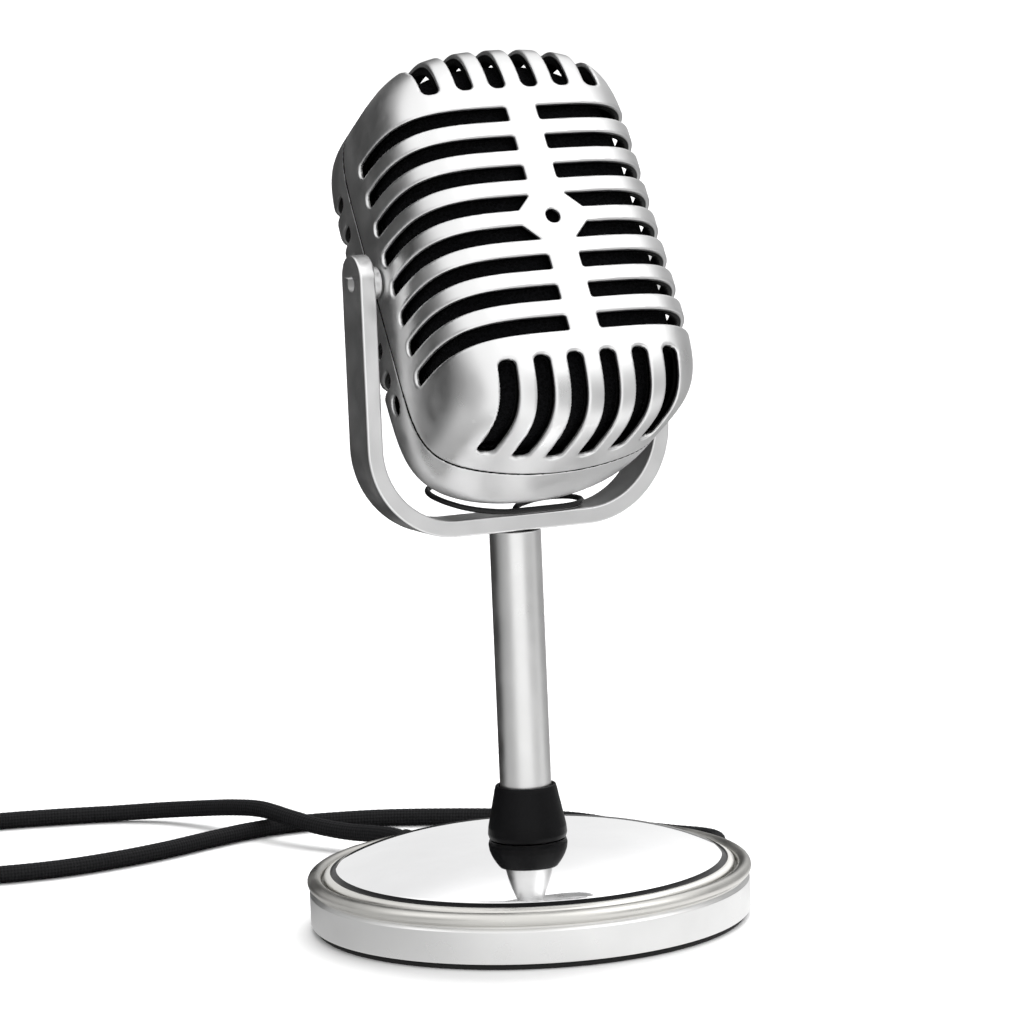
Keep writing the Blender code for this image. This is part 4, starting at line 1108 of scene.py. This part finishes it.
def net_surface(field, low, high, step):
    """The surface where a field is zero, as even quads pulled onto it."""
    axes = [np.arange(a, b, step) for a, b in zip(low, high)]
    values = np.empty([len(a) for a in axes], np.float32)
    y, z = np.meshgrid(axes[1], axes[2], indexing="ij")
    for at, x in enumerate(axes[0]):
        values[at] = field(np.full_like(y, x), y, z)
    inside = values < 0
    size = [n - 1 for n in inside.shape]
    count = np.zeros(size, np.int8)
    for offset in CELL_CORNERS:
        count += inside[tuple(slice(o, o + n) for o, n in zip(offset, size))]
    cells = np.argwhere((count > 0) & (count < 8))
    index = np.full(size, -1)
    index[tuple(cells.T)] = np.arange(len(cells))
    points = np.array(low) + step * net_points(values, cells)
    for _ in range(NET_PULLS):
        here = field(*points.T)
        ahead = [field(*(points + NUDGE * axis).T) for axis in np.eye(3)]
        behind = [field(*(points - NUDGE * axis).T) for axis in np.eye(3)]
        slope = (np.stack(ahead, 1) - np.stack(behind, 1)) / (2 * NUDGE)
        move = -here[:, None] * slope / np.maximum((slope**2).sum(1), 0.05)[:, None]
        far = np.linalg.norm(move, axis=1)
        points += move * np.minimum(1, 0.3 * step / np.maximum(far, 1e-12))[:, None]
    return points, net_faces(inside, index)


def head_piece(name, points, faces, *materials):
    """A smooth piece whose points are in the head's own frame."""
    mesh = bpy.data.meshes.new(name)
    mesh.from_pydata(points.tolist(), [], faces.tolist())
    mesh.transform(HEAD_FRAME)
    mesh.shade_smooth()
    for made in materials:
        mesh.materials.append(made)
    return add_object(name, mesh)


def make_shell(name, side, node):
    """The front (side -1) or rear (side 1) shell, with a lining and the depth of each point in its wall."""
    reach = FRONT_DEPTH if side < 0 else REAR_DEPTH
    front, rear = sorted((SEAM_Y - side * NET_MARGIN, SEAM_Y + side * (reach + NET_MARGIN)))
    low = (-HEAD_SIDE - NET_MARGIN, front, -HEAD_DOWN - NET_MARGIN)
    high = (HEAD_SIDE + NET_MARGIN, rear, HEAD_UP + NET_MARGIN)
    step = NET_STEP * 1
    points, faces = net_surface(lambda x, y, z: shell_field(x, y, z, side), low, high, step)
    middles = points[faces].mean(axis=1)
    inner = head_distance(*middles.T, 0.0) < -LINING_DEPTH
    shell = head_piece(name, points, faces, shell_chrome, lining)
    # Each point's depth in the wall, from which the chrome paints shade deep in the slots.
    depth = shell.data.attributes.new("wall_depth", "FLOAT", "POINT")
    depth.data.foreach_set("value", -head_distance(*points.T, 0.0).astype(np.float32))
    shell.data.polygons.foreach_set("material_index", inner.astype(np.int32))
    ride_for(shell, "head", "satin_chrome", node)


def lobe_level(x, y, z):
    """The foam core's front, just behind the front shell's slots."""
    depth = FRONT_DEPTH - LOBE_INSET
    shrink = (depth - SEAM_Y + LOBE_BACK_Y) / depth
    return head_level(x, SEAM_Y + np.minimum(y - LOBE_BACK_Y, 0) / shrink, z, LOBE_INSET, LOBE_SOFTNESS)


def core_level(x, y, z):
    """The foam core's middle, a block with round corners."""
    across, back, up = (np.abs(v - m) / h for v, m, h in zip((x, y, z), CORE_MIDDLE, CORE_HALF))
    flat = across**CORE_AROUND_POWER + back**CORE_AROUND_POWER
    flat = flat ** (CORE_UPRIGHT_POWER / CORE_AROUND_POWER)
    return (flat + up**CORE_UPRIGHT_POWER) ** (1 / CORE_UPRIGHT_POWER)


def foam_field(x, y, z):
    lobe = smooth_max(distance_outside(lobe_level, x, y, z), y - LOBE_BACK_Y, 0.6 * MM)
    block = distance_outside(core_level, x, y, z)
    whole = -smooth_max(-lobe, -block, 1.0 * MM)
    pocket = np.maximum(np.hypot(x, z - MIDDLE_Z) - POCKET_RADIUS, POCKET_FRONT - y)
    return smooth_max(whole, -pocket, 0.4 * MM)


def make_foam():
    """The foam core that fills the head behind the slots, with the capsule's pocket from behind."""
    low = (-HEAD_SIDE, SEAM_Y - FRONT_DEPTH, -HEAD_DOWN)
    high = (HEAD_SIDE, SEAM_Y + REAR_DEPTH, HEAD_UP)
    points, faces = net_surface(foam_field, low, high, FOAM_STEP)
    piece = head_piece("foam_block", points, faces, foam)
    ride_for(piece, "head", "foam", "foam_core")


def make_lead():
    """The short lead, looped under the head."""
    path, _ = spline([Vector(p) * MM for p in HEAD_LEAD], 0.5 * MM)
    lead = tube("signal_lead", path, lambda share, walked: np.full(len(share), LEAD_RADIUS), 20, jacket)
    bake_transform(lead)
    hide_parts("head_lead")


HEAD_LEAD = [
    (-7, -2.0, 101.4), (-7, 1.2, 99.5), (-7.2, 4.4, 97.6), (-8.8, 7.0, 96.0), (-12.0, 8.4, 94.8),
    (-15.4, 8.0, 94.0), (-17.4, 5.6, 93.4), (-17.6, 2.4, 92.6), (-15.9, -0.6, 91.5), (-12.7, -2.8, 90.3),
    (-8.6, -4.0, 89.4), (-4.2, -4.6, 88.85), (0.5, -4.8, 88.8), (5.5, -4.8, 88.8), (10.4, -4.4, 88.8),
    (14.2, -2.6, 88.95), (15.9, 0.6, 89.3), (14.8, 3.9, 89.55), (11.6, 5.5, 89.6), (7.6, 5.0, 89.5),
    (4.2, 3.2, 89.3), (1.8, 1.4, 89.15), (0.5, 0.4, 88.7), (0.05, 0.05, 87.6), (0, 0, 86), (0, 0, 80),
]


def make_head():
    make_shell("head_front", -1, "front_shell")
    make_shell("head_rear", 1, "rear_shell")
    make_foam()
    dress("chassis_ring", zinc, 0.15)
    dress("capsule", can)
    dress("capsule_sleeve", rubber)
    for label in ("left", "right"):
        dress(f"pivot_nut_{label}", zinc, 0.2)
        dress(f"side_screw_{label}", zinc, 0.12)
    make_lead()


make_camera()
make_yoke()
make_stem()
make_base()
make_cord()
make_studio()
make_head()
